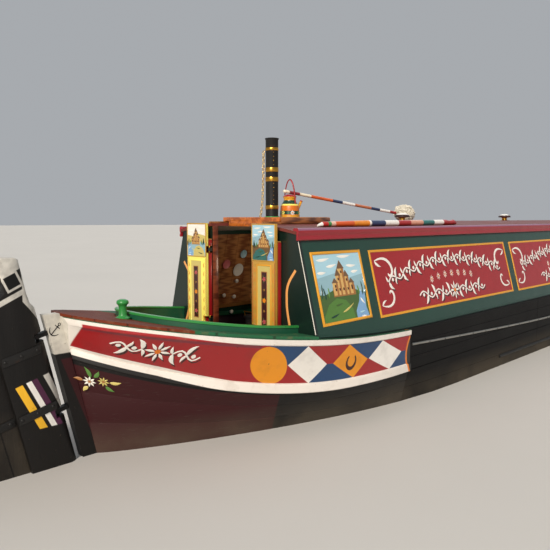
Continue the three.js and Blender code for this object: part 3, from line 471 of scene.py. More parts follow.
# %% Hull numbers
BULKHEAD_X, FRONT_X, BOW_MARK = -8.45, 8.18, 9.05
POST_HALF, POST_DEPTH, GUARD, PLAIN_STEP, PLATE = 0.035, 0.11, 0.012, 0.018, 0.045
STERN = {"inboard": 1, "top": -10.23, "z": 1.583, "rake": 0.2394, "shell": -7.18}
BOW = {"inboard": -1, "top": 11.25, "z": 1.645, "rake": 0.12, "shell": 7.8}
ENDS = {"stern": STERN, "bow": BOW}
LEVELS = {"gunwale": (1.03, (2.2, 0.53), (2.6, 0.6)), "bend": (1.03, (2.6, 0.75), (3.2, 0.72)),
    "waterline": (1.002, (3.6, 0.85), (4.2, 0.85)), "chine": (0.99, (4.5, 0.95), (4.8, 0.95))}
CHINE_Z = 0.0603

def gunwale_z(x):
    return 1.2 + 0.387 * max(0, (-6.85 - x) / 3.4) ** 2 + 0.42 * max(0, (x - 7) / 4.25) ** 2

def bend_z(x):
    return 0.81 + 0.52 * max(0, (-8 - x) / 2.25) ** 2 + 0.5 * max(0, (x - 8.3) / 2.95) ** 2

HEIGHT = {"gunwale": gunwale_z, "bend": bend_z, "waterline": lambda x: WATER_Z, "chine": lambda x: CHINE_Z}

def face_x(end, z):
    return end["top"] + end["inboard"] * (end["z"] - z) * end["rake"]

def post_x(end, z):
    return face_x(end, z) + end["inboard"] * POST_DEPTH

def half_breadth(level, x):
    half, stern, bow = LEVELS[level]
    z = HEIGHT[level](x)
    full = 1
    for end, (length, power) in ((STERN, stern), (BOW, bow)):
        inside = max(0, (x - post_x(end, z)) * end["inboard"])
        full *= sin(pi / 2 * min(1, inside / length)) ** power
    return POST_HALF + (half - POST_HALF) * full

def run_of(end, x):
    """Metres inboard of the mark that an end's pattern is set out from, and x for such metres."""
    return x - BULKHEAD_X if end is STERN else BOW_MARK - x

def x_of(end, run):
    return BULKHEAD_X + run if end is STERN else BOW_MARK - run

def tip_x(end, level, down):
    x = post_x(end, end["z"])
    for _ in range(6):
        x = post_x(end, HEIGHT[level](x) + down) + end["inboard"] * 0.0003
    return x

for x in (-9.9, -9, BULKHEAD_X, 0, 9):
    print(f"x {x:6.2f}: gunwale {gunwale_z(x):.3f} high, {half_breadth('gunwale', x):.3f} half breadth")

# %% [markdown]
# ## The floor
# A wide pale floor lies where the water would be, so the boat is seen afloat, with its whole hull
# there underneath. No water comes inside, so the floor has an opening along the waterline, whose
# edge is hidden in the thickness of the planks.

# %% Floor at the water
def floor_finish():
    made, place = recipe("studio floor")
    cloud = place.noise(0.35, 4)
    return cover(made, cloud.shade(dimmed("c4c1bb"), dimmed("cfccc6")), 0.7 + cloud * 0.15)

PAINT["studio"] = floor_finish()
stations = spread(post_x(STERN, WATER_Z), post_x(BOW, WATER_Z), 90)
opening = [Vector((x, half_breadth("waterline", x) - PLATE / 2, WATER_Z)) for x in stations]
opening += [Vector((p.x, -p.y, p.z)) for p in reversed(opening)]
rim = [p.xy.normalized() * 150 for p in opening]
studio = Build()
studio.skin([opening, [(p.x, p.y, WATER_Z) for p in rim]], "studio")
studio.bare("studio_floor")
print("the floor lies at z =", WATER_Z, "and stops at the planks")

# %% [markdown]
# ## The top bend's paint
# The curved strake under the gunwale is the boat's best coat: two raised cream bands with a red
# panel between them, an orange disc, three lozenges on red and blue triangles, and an orange line
# round the curved end. Each corner of the skin keeps two numbers, metres along from a mark near the
# cabin's end and its share of the strake's height, and the finish draws the pattern in those. So it
# follows the sheer and the flare, as a sign painter's chalk lines do.

# %% Pattern of the top bend
DISC, LOZENGES = (-0.382, 0.15), ((-0.04, 0.185, "white"), (0.415, 0.205, "orange"),
    (0.878, 0.242, "white"))
TIP_RUN, CURVE_RUN, SKEW = -1.603, 1.195, 0.11
# The mauve is painted shade: a dark line along the top of the red panel, where the raised band above would
# cast its shadow.
PATTERN = {"red": "9e161b", "blue": "12406c", "orange": "e8930f", "white": "f2eee6", "cream": "ebe3d9",
    "black": "0e0c0a", "line": "e07c18", "mauve": "6a2f3c"}

def curved_end(run, up):
    """Metres past the curved line that ends the pattern, from a wire of run and one of height."""
    middle = up - 0.5
    return run - middle * middle * 0.144 - middle * 0.062 - CURVE_RUN

def aft_lift(run):
    """0 amidships and 1 near the post, where the bands grow narrower."""
    return ((run + 0.62) * -2).most(0).least(1)

def bend_finish():
    made, place = recipe("top bend paint")
    run, up = own_map(place).axis("X"), own_map(place).axis("Y")
    middle = up - 0.5
    skewed = run + middle * SKEW
    colour = run.tones(PATTERN["red"])
    centres = [DISC[0]] + [centre for centre, _, _ in LOZENGES] + [LOZENGES[-1][0] + 0.62]
    top, low = middle.above(0, 0.004), middle.below(0, 0.004)
    for k, (a, b) in enumerate(zip(centres, centres[1:])):
        between = skewed.above(a) * skewed.below(b)
        colour = colour.painted(PATTERN["blue"], between * (low if k % 2 else top))
    for centre, half, name in LOZENGES:
        reach = abs(skewed - centre) * (1 / half) + abs(middle) * 2
        colour = colour.painted(PATTERN[name], reach.below(1, 0.02))
    across, upward = (skewed - DISC[0]) * (1 / DISC[1]), (up - 0.48) * 2.02
    narrow, past = up.below(0.01 + aft_lift(run) * 0.1, 0.01), curved_end(run, up)
    for name, mask in (("orange", (across * across + upward * upward).below(1, 0.03)),
            # painted shadow under the upper band
            ("mauve", up.above(0.93, 0.02) * run.below(DISC[0] - 0.12) * 0.7),
            ("cream", run.below(TIP_RUN, 0.006).most(narrow)), ("line", past.above(0)),
            ("black", past.above(0.025))):
        colour = colour.painted(PATTERN[name], mask)
    cloud, dust = place.noise(1.1, 4), place.noise(8, 5)
    chips = place.noise(36, 6).above(0.71, 0.02)
    colour = colour.painted("3a2a20", cloud * 0.16 + dust.above(0.62, 0.2) * 0.14 + chips * 0.5)
    brushed = place.stretched(6, 6, 70).noise(4, 3)
    return cover(made, colour, 0.28 + dust * 0.16 + chips * 0.3, brushed * 0.5 + dust * 0.6 - chips,
        0.0012, coat=0.15)

PAINT["bend"] = bend_finish()
print("the bend's pattern runs from the tip's cream to", LOZENGES[-1][0] + 0.27,
    "m forward of the cabin end")

# %% [markdown]
# The band and the skin below it need finishes of their own, because both stop in curves that have
# nothing to do with planks: the cream band at the same curved line as the pattern, and the maroon
# quarter in a slanted edge that lies parallel to the sternpost.

# %% Bands and quarters
def banded(name, code, under):
    made, place = recipe(name)
    run, up = own_map(place).axis("X"), own_map(place).axis("Y")
    cloud, dust = place.noise(1.1, 4), place.noise(9, 5)
    chips = place.noise(40, 6).above(0.7, 0.02)
    colour = cloud.tones(code, 0.78, 1.02)
    lift, panel = aft_lift(run), run.above(TIP_RUN, 0.006)
    hem = up.above(0.5) * up.below(1.01 + lift * 0.11, 0.02) * panel * lift.above(0.05, 0.05)
    colour = colour.painted(PATTERN["red"], hem).painted(under, chips * 0.6 + dust.above(0.64, 0.2) * 0.25)
    past = curved_end(run, up)
    black = past.above(0.025).most(up.below(-0.29 + lift * 0.13, 0.01))
    colour = colour.painted(PATTERN["line"], past.above(0)).painted(PATTERN["black"], black)
    return cover(made, colour, 0.32 + dust * 0.2, dust * 0.7 - chips, 0.001, coat=0.15)

def quarter_finish():
    made, place = recipe("maroon quarter and blacking")
    run, high = own_map(place).axis("X"), place.axis("Z")
    ends = (run + (high - 1.2) * 0.2394).below(-0.3, 0.006) * own_map(place).axis("Y").below(-0.332, 0.004)
    cloud, dust = place.noise(1.6, 5), place.noise(12, 5)
    scratch = scratches(place)
    black = cloud.shade(dimmed("080706"), dimmed("131010"))
    colour = tide_mark(black.painted("330d10", ends).painted("4a4038", scratch * 0.25), place, cloud)
    return cover(made, colour, 0.4 + cloud * 0.26, cloud + dust * 0.4 - scratch * 0.3, 0.002, mirror=0.3)

PAINT["band"] = banded("cream band", PATTERN["cream"], "8d7b62")
PAINT["edge"] = banded("green gunwale edge", "1b5636", "6d5a45")
PAINT["quarter"] = quarter_finish()

# %% [markdown]
# The posts at the two ends are cream where the bend's tips meet them, maroon or black below. The
# paint goes by height and by how far a point lies behind the post's leaning face.

# %% Post paint
def post_finish(name, end, cream_low, maroon_from):
    made, place = recipe(name)
    x, z = place.axis("X"), place.axis("Z")
    behind = ((x - end["top"]) * end["inboard"]) - (end["z"] - z) * end["rake"]
    cloud, dust = place.noise(2, 5), place.noise(14, 5)
    colour = cloud.shade(dimmed("080706"), dimmed("161311"))
    # The cream is dimmed to between half and four fifths of its chart colour: painted shade for the post's
    # face turned from the light, with patches from the dust noise.
    cream = dust.above(0.45, 0.4).tones("ece6d8", 0.52, 0.8)
    colour = cream.over(colour, z.above(cream_low, 0.006) * behind.above(-0.002, 0.002))
    low = z.below(cream_low - 0.04, 0.006) * (behind - (maroon_from - z) * 0.14).above(0.027, 0.005)
    colour = colour.painted("330d10", low)
    worn = place.noise(30, 6).above(0.69, 0.03)
    colour = colour.painted("4a3c2e", worn * 0.4)
    return cover(made, colour, 0.36 + cloud * 0.2 + dust * 0.12, cloud + dust * 0.4 - worn * 0.5, 0.0015,
        mirror=0.3)

PAINT["sternpost"] = post_finish("sternpost paint", STERN, 1.29, 1.283)
PAINT["stempost"] = post_finish("stem post paint", BOW, 1.36, 1.283)
dress("sternpost", "sternpost")
dress("stem_post", "stempost")

# %% [markdown]
# ## Skins of the two ends
# Each end's side is one skin from the post to the parallel body: the eased gunwale edge, two raised
# bands with small chamfers, the panel between, a step under the lower band, and three planks whose
# seams are real grooves, 4 mm deep. Forty-eight rings, close together near the post, make the curve
# look drawn, where the solid has twelve.

# %% End skins
SEAM = 0.004
GUNWALE_ROWS = ((GUARD - 0.006, 0, 1.25), (GUARD, -0.006, 1.22), (GUARD, -0.046, 1.05),
    (GUARD - 0.003, -0.051, 1.02), (0, -0.055, 1))
BEND_ROWS = ((0, 0.078, 0), (GUARD - 0.003, 0.074, -0.02), (GUARD, 0.068, -0.05), (GUARD, 0.006, -0.25),
    (GUARD - 0.005, 0, -0.28), (-PLAIN_STEP, 0, -0.3))

def end_ring(end, side, share):
    """Points and map marks round one section: outside from the gunwale down, then inside up."""
    rows = []

    def at(level, down):
        return lerp(tip_x(end, level, down), end["shell"], share)

    def put(level, outward, down, mark):
        x = at(level, down)
        y = max(0.0003, half_breadth(level, x) + outward)
        rows.append(((x, y * side, HEIGHT[level](x) + down), (run_of(end, x), mark)))

    for row in GUNWALE_ROWS:
        put("gunwale", *row)
    xa, xb = at("gunwale", -0.055), at("bend", 0.078)
    a = Vector((xa, half_breadth("gunwale", xa) * side, gunwale_z(xa) - 0.055))
    b = Vector((xb, half_breadth("bend", xb) * side, bend_z(xb) + 0.078))
    for t in (0.2, 0.4, 0.6, 0.8):
        p = a.lerp(b, t)
        rows.append((p[:], (run_of(end, p.x), 1 - t)))
    for row in BEND_ROWS:
        put("bend", *row)
    (upper, (run, _)) = rows[-1]
    put("waterline", 0, 0, -0.6)
    lower = rows.pop()
    for seam in (0.32, 0.66):
        for t, inward in ((seam - 0.02, 0), (seam, SEAM), (seam + 0.02, 0)):
            p = Vector(upper).lerp(Vector(lower[0]), t)
            rows.append(((p.x, p.y - inward * side, p.z), (lerp(run, lower[1][0], t), -0.5)))
    rows.append(lower)
    put("chine", 0, 0, -1)
    outside = len(rows)
    for level, inward in (("chine", PLATE), ("waterline", PLATE), ("bend", PLATE + PLAIN_STEP),
            ("gunwale", PLATE)):
        put(level, -inward, 0, -2)
    return rows, outside

def end_skin(tag, word):
    rings = [end_ring(ENDS[tag], SIDES[word], (k / 48) ** 1.7) for k in range(49)]
    outside = rings[0][1]
    paints = ["edge", "band", "band", "band"] + ["bend"] * 5 + ["band"] * 5 + ["quarter"] * (outside - 15)
    paints += ["timber"] + ["purple"] * 3 + ["edge"]
    marks = [[mark for _, mark in ring] for ring, _ in rings]
    made = Build()
    made.loft([[point for point, _ in ring] for ring, _ in rings], paints,
        "sternpost" if tag == "stern" else "stempost", uv=lambda r, i: marks[r][i % len(marks[r])])
    skin = made.piece(f"{tag}_skin_{word}", "bend_paint", [f"{tag}_shell_{word}"], sharp=24)
    print(skin.name, len(skin.data.polygons), "faces")

for word in SIDES:
    for tag in ENDS:
        end_skin(tag, word)

# %% [markdown]
# ## The plain sides
# Between the ends the sides are flush black planks. The solid is a bare three-sided strip. The
# piece here has planks with pitched seams, staggered butt joints and a rounded top edge.

# %% Side planking
def side_ring(side, x, butt):
    def put(level, outward, down=0):
        return Vector((x, (half_breadth(level, x) + outward) * side, HEIGHT[level](x) + down))
    top, bend = put("gunwale", -PLAIN_STEP), put("bend", -PLAIN_STEP)
    water, chine = put("waterline", 0), put("chine", 0)
    rows = [top - Vector((0, 0.008 * side, 0)), top - Vector((0, 0, 0.008))]
    for a, b, cuts in ((top, bend, (0.33, 0.68)), (bend, water, (0, 0.55)), (water, chine, (0.2,))):
        for t in cuts:
            for shift, inward in ((-0.004, 0), (0, SEAM), (0.004, 0)):
                p = a.lerp(b, t) - Vector((0, 0, shift))
                rows.append(p - Vector((0, inward * side, 0)))
        rows.append(b.copy())
    inner = [put("chine", -PLATE), put("waterline", -PLATE), put("bend", -PLATE - PLAIN_STEP),
        put("gunwale", -PLATE - PLAIN_STEP)]
    deep = 0.0035 if butt else 0
    return [p - Vector((0, deep * side, 0)) for p in rows] + inner

for word, side in SIDES.items():
    stations = [(x, False) for x in spread(-7.1797, 7.7997, 30)]
    for x in (-4.1, -0.6, 2.9, 6.1):
        stations += [(x - 0.004, False), (x, True), (x + 0.004, False)]
    stations.sort()
    planks = Build()
    planks.loft([side_ring(side, x, butt) for x, butt in stations], "black")
    planks.piece(f"side_planks_{word}", "hull_black", [f"hull_side_{word}"], sharp=24)
print("the sides have", len(stations), "rings each")
dress("bottom_planks", "timber")

# %% [markdown]
# ## Cutting one shape with another
# A notch or a mortise is cut as a joiner cuts it: the whole block first, then the tool's shape is
# taken out of it by a Boolean. The result is read back into a `Build`, to be eased and shaded.

# %% Carving
def carve(block, tools):
    base = block.bare("block")
    for tool, operation in tools:
        other = tool.bare("tool")
        cut = base.modifiers.new("cut", "BOOLEAN")
        cut.object, cut.operation, cut.solver, cut.material_mode = other, operation, "EXACT", "TRANSFER"
        result = bpy.data.meshes.new_from_object(base.evaluated_get(bpy.context.evaluated_depsgraph_get()))
        base.modifiers.clear()
        base.data = result
        bpy.data.objects.remove(other)
    names = {material.name: key for key, material in PAINT.items()}
    out = Build()
    for face in base.data.polygons:
        material = base.data.materials[face.material_index]
        out.face([base.data.vertices[i].co[:] for i in face.vertices], names[material.name])
    bpy.data.objects.remove(base)
    return out

# %% [markdown]
# ## Rows of bolt heads with Geometry Nodes
# Straps and guard irons are held by bolts at even spacing. One node tree places them all: it
# resamples a line at the spacing, puts a flattened dome on each point, turns it to the outward
# direction kept on the line, and makes the domes real. The tree's sizes are named inputs.

# %% A start for any tree
def new_tree(name, geometry, sizes):
    """A geometry tree with named inputs, and a call that adds nodes, fed by values or by nodes."""
    tree = bpy.data.node_groups.new(name, "GeometryNodeTree")
    face = tree.interface
    face.new_socket(geometry, in_out="INPUT", socket_type="NodeSocketGeometry")
    for key, value in sizes.items():
        kind = "NodeSocketInt" if isinstance(value, int) else "NodeSocketFloat"
        face.new_socket(key, in_out="INPUT", socket_type=kind).default_value = value
    face.new_socket("Finish", in_out="INPUT", socket_type="NodeSocketMaterial")
    face.new_socket("Made", in_out="OUTPUT", socket_type="NodeSocketGeometry")

    def add(kind, inputs=None, **settings):
        node = tree.nodes.new(kind)
        for key, value in settings.items():
            setattr(node, key, value)
        for key, value in (inputs or {}).items():
            if isinstance(value, bpy.types.Node):
                value = value.outputs[0]
            if isinstance(value, bpy.types.NodeSocket):
                tree.links.new(value, node.inputs[key])
            else:
                node.inputs[key].default_value = value
        return node

    return tree, add, add("NodeGroupInput").outputs

def close_tree(add, points, shape, turn, finish, scale=None):
    """The end that all trees share: a shape on each point, made real and painted."""
    fitted = {"Points": points, "Instance": shape, "Rotation": turn}
    if scale:
        fitted["Scale"] = scale
    place = add("GeometryNodeInstanceOnPoints", fitted)
    real = add("GeometryNodeRealizeInstances", {0: place})
    paint = add("GeometryNodeSetMaterial", {"Geometry": real, "Material": finish})
    add("NodeGroupOutput", {"Made": paint})

def grow(tree, carrier_mesh, **values):
    """Runs a tree on a mesh and gives back what it made, as a plain mesh."""
    carrier = shown("carrier", carrier_mesh)
    change = carrier.modifiers.new("tree", "NODES")
    change.node_group = tree
    keys = {s.name: s.identifier for s in tree.interface.items_tree if s.in_out == "INPUT"}
    for key, value in values.items():
        change[keys[key.replace("_", " ")]] = value
    result = bpy.data.meshes.new_from_object(carrier.evaluated_get(bpy.context.evaluated_depsgraph_get()))
    bpy.data.objects.remove(carrier)
    for polygon in result.polygons:
        polygon.use_smooth = True
    return result

# %% Bolt tree
def bolt_tree():
    tree, add, start = new_tree("rows of bolts", "Line",
        {"Spacing": 0.2, "Head radius": 0.008, "Flatness": 0.5})
    curve = add("GeometryNodeMeshToCurve", {0: start["Line"]})
    even = add("GeometryNodeResampleCurve", {"Curve": curve, "Length": start["Spacing"]}, mode="LENGTH")
    dome = add("GeometryNodeMeshUVSphere", {"Segments": 8, "Rings": 6, "Radius": start["Head radius"]})
    flat = add("ShaderNodeCombineXYZ", {"X": 1, "Y": 1, "Z": start["Flatness"]})
    press = add("GeometryNodeTransform", {"Geometry": dome, "Scale": flat})
    outward = add("GeometryNodeInputNamedAttribute", {"Name": "outward"}, data_type="FLOAT_VECTOR")
    turn = add("FunctionNodeAlignRotationToVector", {"Vector": outward}, axis="Z")
    close_tree(add, even, press, turn, start["Finish"])
    return tree

BOLTS = bolt_tree()

def line_mesh(name, rows):
    """rows: lists of (point, direction). The direction is kept on each point."""
    mesh = bpy.data.meshes.new(name)
    edges, first = [], 0
    for row in rows:
        edges += [(first + k, first + k + 1) for k in range(len(row) - 1)]
        first += len(row)
    mesh.from_pydata([tuple(p) for row in rows for p, _ in row], edges, [])
    kept = mesh.attributes.new("outward", "FLOAT_VECTOR", "POINT")
    kept.data.foreach_set("vector", [c for row in rows for _, n in row for c in n])
    return mesh

def bolt_rows(name, rows, spacing, radius, paint="iron", flatness=0.5, body="hull"):
    heads = grow(BOLTS, line_mesh(name, rows), Spacing=spacing, Head_radius=radius, Flatness=flatness,
        Finish=PAINT[paint])
    print(name, len(heads.polygons), "faces in bolt heads")
    return settle(name, heads, body=body)

# %% [markdown]
# ## The rudder's finish
# A butty's rudder is as tall as the boat: an oak stock whose top, the ram's head, takes the tiller,
# and a wide planked blade. It is blacked, but the head's top and the stepped ridge are white, the
# head's sides have a black square in a white one, and slanted stripes cross the stock below the
# shoulder. The stock leans, so its measures are aft of the hinge line and up along it.

# %% Rudder paint
RAKE = atan(STERN["rake"])
AXIS_X = STERN["top"] - 0.075 / cos(RAKE)
COS, SIN = cos(RAKE), sin(RAKE)

def rudder_point(aft, across, up):
    rise = up - STERN["z"] * COS
    return Vector((AXIS_X - aft * COS - rise * SIN, across, STERN["z"] - aft * SIN + rise * COS))

def up_axis(z):
    return (z - STERN["z"]) / COS + STERN["z"] * COS

SQUARE_X, SQUARE_Z, SQUARE_HALF, SQUARE_TURN = -10.451, 1.825, 0.058, radians(25)
STRIPES_TOP, STRIPES_LOW = 1.12, 0.8
STRIPES = (("e8b22c", -10.458, -10.402), ("f0ece4", -10.374, -10.332), ("4e2440", -10.332, -10.288),
    ("c6c3ba", -10.24, -10.192))

def rudder_finish():
    made, place = recipe("rudder paint")
    x, y, z = (place.axis(name) for name in "XYZ")
    cloud, dust = place.noise(2, 5), place.noise(14, 5)
    grain = place.stretched(24, 24, 2.5).noise(2, 4)
    colour = cloud.shade(dimmed("080706"), dimmed("161311"))
    slanted = x - (STRIPES_TOP - z) * 0.5
    top = STRIPES_TOP + (x + 10.43) * 0.28
    band = z.above(STRIPES_LOW, 0.006) * (z - top).below(0, 0.006)
    for code, a, b in STRIPES:
        stripe = slanted.above(a, 0.003) * slanted.below(b, 0.003) * band
        colour = colour.painted(code, stripe)
    white = dust.above(0.45, 0.4).tones("ece7dc", 0.42, 0.74)
    u, v, c, s = x - SQUARE_X, z - SQUARE_Z, cos(SQUARE_TURN), sin(SQUARE_TURN)
    across, upward = u * c + v * s, v * c - u * s
    line = z + (x + 10.357) * 1.2
    step = line.above(1.652) * x.above(-10.385, 0.006) * x.below(-10.262, 0.006) * z.above(1.55)
    under = upward.below(-0.078, 0.004) * upward.above(-0.112, 0.004) * x.below(-10.37, 0.006)
    colour = white.over(colour, step.most(under).most(upward.above(0.052, 0.004)))
    side = abs(y).above(0.058, 0.004)
    reach = abs(across).most(abs(upward))
    colour = white.over(colour, reach.below(SQUARE_HALF, 0.003) * side)
    colour = colour.painted("0b0a09", reach.below(SQUARE_HALF * 0.74, 0.003) * side)
    worn = place.noise(30, 6).above(0.69, 0.03)
    colour = colour.painted("4a3c2e", worn * 0.5)
    return cover(made, colour, 0.36 + cloud * 0.2 + dust * 0.12, grain + cloud * 0.6 - worn * 0.5, 0.002,
        mirror=0.3)

PAINT["rudder"] = rudder_finish()

def blade_finish():
    made, place = recipe("rudder blade")
    aft = place.axis("X") * -COS - place.axis("Z") * SIN
    seam = aft.seams(0.165, 0.475)
    cloud, grain = place.noise(2.2, 5), place.stretched(24, 24, 2.5).noise(2, 4)
    colour = cloud.shade(dimmed("0a0908"), dimmed("1a1614"))
    low = place.axis("Z").below(WATER_Z + 0.3, 0.35) * cloud.above(0.45, 0.3)
    colour = colour.painted("51483a", low * 0.5).painted("060505", seam * 0.8)
    return cover(made, colour, 0.4 + cloud * 0.25, grain + cloud * 0.6 - seam * 3, 0.0025, mirror=0.3)

PAINT["blade"] = blade_finish()

# %% [markdown]
# ## Rudder stock and blade
# The stock is what is left when two outlines meet: its side view, and its plan, a bluff section with
# a rounded nose. Notches for the three pintles and the mortise for the tiller are cut through, and
# all edges are eased, as on worn oak. The blade is thinner towards its trailing edge's rim.

# %% Stock
def on_profile(u, v, h):
    return (BULKHEAD_X - u, h, v)

STOCK_SIDE = [(1, 0.09), (1.7, 1.603), (1.8, 1.603), (1.88, 1.672), (1.905, 1.74), (1.952, 1.968),
    (1.985, 1.981), (2.062, 1.981), (2.088, 1.958), (2.052, 1.748), (2.11, 1.69), (2.6, 1.69), (2.6, 0.09)]
PINTLES = [up_axis(z) for z in (0.33, 0.88, 1.43)]

def raked_box(a, b, half, low, high):
    made = Build()
    ring = [(a, -half), (b, -half), (b, half), (a, half)]
    made.loft([[rudder_point(aft, y, up) for aft, y in ring] for up in (low, high)], "rudder")
    return made

side_view = Build()
side_view.slab(STOCK_SIDE, -0.2, 0.2, "rudder", on_profile)
plan = Build()
SECTION = [(-0.03, 0.02), (-0.022, 0.034), (0, 0.053), (0.025, 0.065), (0.3, 0.065)]
plan_ring = SECTION + [(a, -y) for a, y in reversed(SECTION)]
plan.loft([[rudder_point(a, y, up) for a, y in plan_ring] for up in (up_axis(-0.2), up_axis(2.3))],
    "rudder")
cuts = [(raked_box(0.04, -0.09, 0.09, up - 0.03, up + 0.03), "DIFFERENCE") for up in PINTLES]
cuts.append((raked_box(0.24, -0.08, 0.027, up_axis(1.836), up_axis(1.904)), "DIFFERENCE"))
stock = carve(plan, [(side_view, "INTERSECT")] + cuts)
stock.piece("rudder_stock_dressed", "hull_black", ["rudder_stock"], ease=0.007, sharp=30, body="rudder")

# %% Blade, straps and pins
def front_edge(z):
    base = rudder_point(0.3003, 0, 0)
    return base.x - (z - base.z) * STERN["rake"]

TRAIL = [(2.33, 1.56), (2.56, 1.29), (2.72, 0.98), (2.785, 0.76), (2.8, 0.56), (2.78, 0.33), (2.7, 0.17),
    (2.56, 0.09)]
outline = [(BULKHEAD_X - front_edge(z), z) for z in (0.09, 1.69)]
outline += [(min(p.x, 2.8), p.y) for p in smooth_line([(a, z, 0) for a, z in TRAIL], 4)]
centre = (2.3, 0.75)
blade = Build()

def inset(u, v, by):
    d = Vector((centre[0] - u, centre[1] - v))
    return (u, v) if by == 0 or u < 2.2 and v > 1.6 else (u + d.x * by, v + d.y * by)

rings = []
for h, by in ((-0.02, 0), (-0.032, 0.05), (0.032, 0.05), (0.02, 0)):
    ring = [inset(u, v, 0 if k < 2 else by) for k, (u, v) in enumerate(outline)]
    rings.append([on_profile(u, v, copysign(0.032, h) if k < 2 else h) for k, (u, v) in enumerate(ring)])
blade.skin(rings, "blade")
blade.face(rings[0], "blade")
blade.face(rings[-1], "blade")
blade.piece("rudder_blade_dressed", "hull_black", ["rudder_blade"], sharp=28, body="rudder")

straps, bolts = Build(), []
for z, reach in ((0.45, 0.72), (0.95, 0.66), (1.36, 0.42)):
    for side in (1, -1):
        out = Vector((0, 0.007 * side, 0))
        for near, far, y, taper, marks in ((0.02, 0.29, 0.0652, 1, (0.1, 0.92)),
                (0.304, 0.3 + reach * 0.72, 0.0322, 0.6, (0.07, 0.95))):
            a, b = (rudder_point(aft, y * side, up_axis(z)) for aft in (near, far))
            rings = []
            for p, half in ((a, Vector((0, 0, 0.03))), (b, Vector((0, 0, 0.03)) * taper)):
                rings.append([p - half, p + half, p + half + out, p - half + out])
            straps.loft(rings, "iron")
            bolts.append([(a.lerp(b, t) + out, (0, side, 0)) for t in marks])
for up in PINTLES:
    straps.rod([rudder_point(0, 0, up - 0.034), rudder_point(0, 0, up + 0.034)], 0.012, "iron", 16)
straps.piece("rudder_irons", "black_iron", ease=0.0015, body="rudder")
bolt_rows("rudder_bolts", bolts, 0.085, 0.012, body="rudder")

# %% [markdown]
# ## Decks and the steerer's well
# The stern deck is red oxide, with green side decks. The decks' solids already have the right shape
# and only get finishes. The coaming is different: on the real boat it is one board steamed round the
# well, with a rounded cap, so one section is swept along a curve through the solid's corners.

# %% Deck finishes
def deck_finish():
    made, place = recipe("stern deck paint")
    x, y = place.axis("X"), place.axis("Y")
    seam = y.seams(0.15, 0.474, 0.014)
    cloud, dust = place.noise(2, 5), place.noise(16, 5)
    grit = place.noise(260, 2)
    red = cloud.shade(dimmed("561f0d"), dimmed("7e3314"))
    green = cloud.shade(dimmed("1e5136"), dimmed("2a6b45"))
    colour = green.over(red, (x + abs(y) * 0.35).above(-9.2, 0.006))
    worn = dust.above(0.6, 0.12)
    colour = colour.painted("7d6145", worn * 0.35).painted("1d120f", seam * 0.6)
    return cover(made, colour, 0.6 + cloud * 0.2, grit * 0.5 - seam * 1.5 + dust * 0.4, 0.0015, mirror=0.25)

PAINT["sterndeck"] = deck_finish()
for node, paint in (("stern_deck", "sterndeck"), ("fore_deck", "deck"), ("well_floor", "floor"),
        ("fore_well_floor", "floor"), ("fore_deck_board", "green"), ("gunwale_port", "deckgreen"),
        ("gunwale_starboard", "deckgreen"), ("cabin_floor", "floor")):
    dress(node, paint)

# %% Coaming round the well
WELL = [(0.001, 0.745), (0.35, 0.735), (0.6, 0.655), (0.82, 0.52), (0.98, 0.33), (1.05, 0.13)]

half = [(BULKHEAD_X - a, y, 0) for a, y in WELL]
line = smooth_line(half + [(x, -y, 0) for x, y, _ in reversed(half)], 6)
coaming, rings = Build(), []
for before, point, after in zip(line[:1] + line, line, line[1:] + line[-1:]):
    ahead = (after - before).normalized()
    low, top = gunwale_z(point.x) - 0.068, gunwale_z(point.x) + 0.084
    section = [(0.001, low), (0.026, low), (0.026, top - 0.022), (0.033, top - 0.018),
        (0.033, top - 0.004), (0.027, top), (0.003, top), (-0.004, top - 0.004), (-0.004, top - 0.018),
        (0.001, top - 0.022)]
    rings.append([(point.x + ahead.y * o, point.y - ahead.x * o, z) for o, z in section])
coaming.loft(rings, ["deckgreen"] * 3 + ["bright"] * 5 + ["deckgreen"] * 2)
coaming.piece("coaming_and_cap", "cabin_green", ["well_coaming"], sharp=40)
print("the coaming's cap runs through", len(rings), "sections")

# %% [markdown]
# ## The roof
# The roof is one gentle arch, canvas over boards, painted red oxide. In the solids it is nine flat
# strips. Here it is a grid of cells on the true curve. The hatch is left out as cells that aren't
# there: wherever a cell has no neighbour, an edge wall is added, so any opening closes itself.

# %% Arched roof
ROOF_HALF, ROOF, CAMBER, SIDE_TOP_Z, SIDE_TOP_HALF = 0.76, 0.025, 0.07, 2.106, 0.744
HATCH_HALF, HATCH_LENGTH = 0.3, 0.64

def roof_under(y):
    return SIDE_TOP_Z + 0.0009 + CAMBER * (1 - (y / SIDE_TOP_HALF) ** 2)

def on_roof(y):
    return roof_under(y) + ROOF

def grid_plate(xs, ys, top, under, missing, paint, inside):
    made = Build()
    kept = {(i, j) for i in range(len(xs) - 1) for j in range(len(ys) - 1)
        if not missing((xs[i] + xs[i + 1]) / 2, (ys[j] + ys[j + 1]) / 2)}
    for i, j in kept:
        corners = [(xs[i], ys[j]), (xs[i + 1], ys[j]), (xs[i + 1], ys[j + 1]), (xs[i], ys[j + 1])]
        made.face([(x, y, top(x, y)) for x, y in corners], paint)
        made.face([(x, y, under(x, y)) for x, y in reversed(corners)], inside)
        for (di, dj), (a, b) in (((0, -1), (0, 1)), ((1, 0), (1, 2)), ((0, 1), (2, 3)), ((-1, 0), (3, 0))):
            if (i + di, j + dj) not in kept:
                (xa, ya), (xb, yb) = corners[a], corners[b]
                made.face([(xa, ya, under(xa, ya)), (xb, yb, under(xb, yb)), (xb, yb, top(xb, yb)),
                    (xa, ya, top(xa, ya))], paint)
    return made

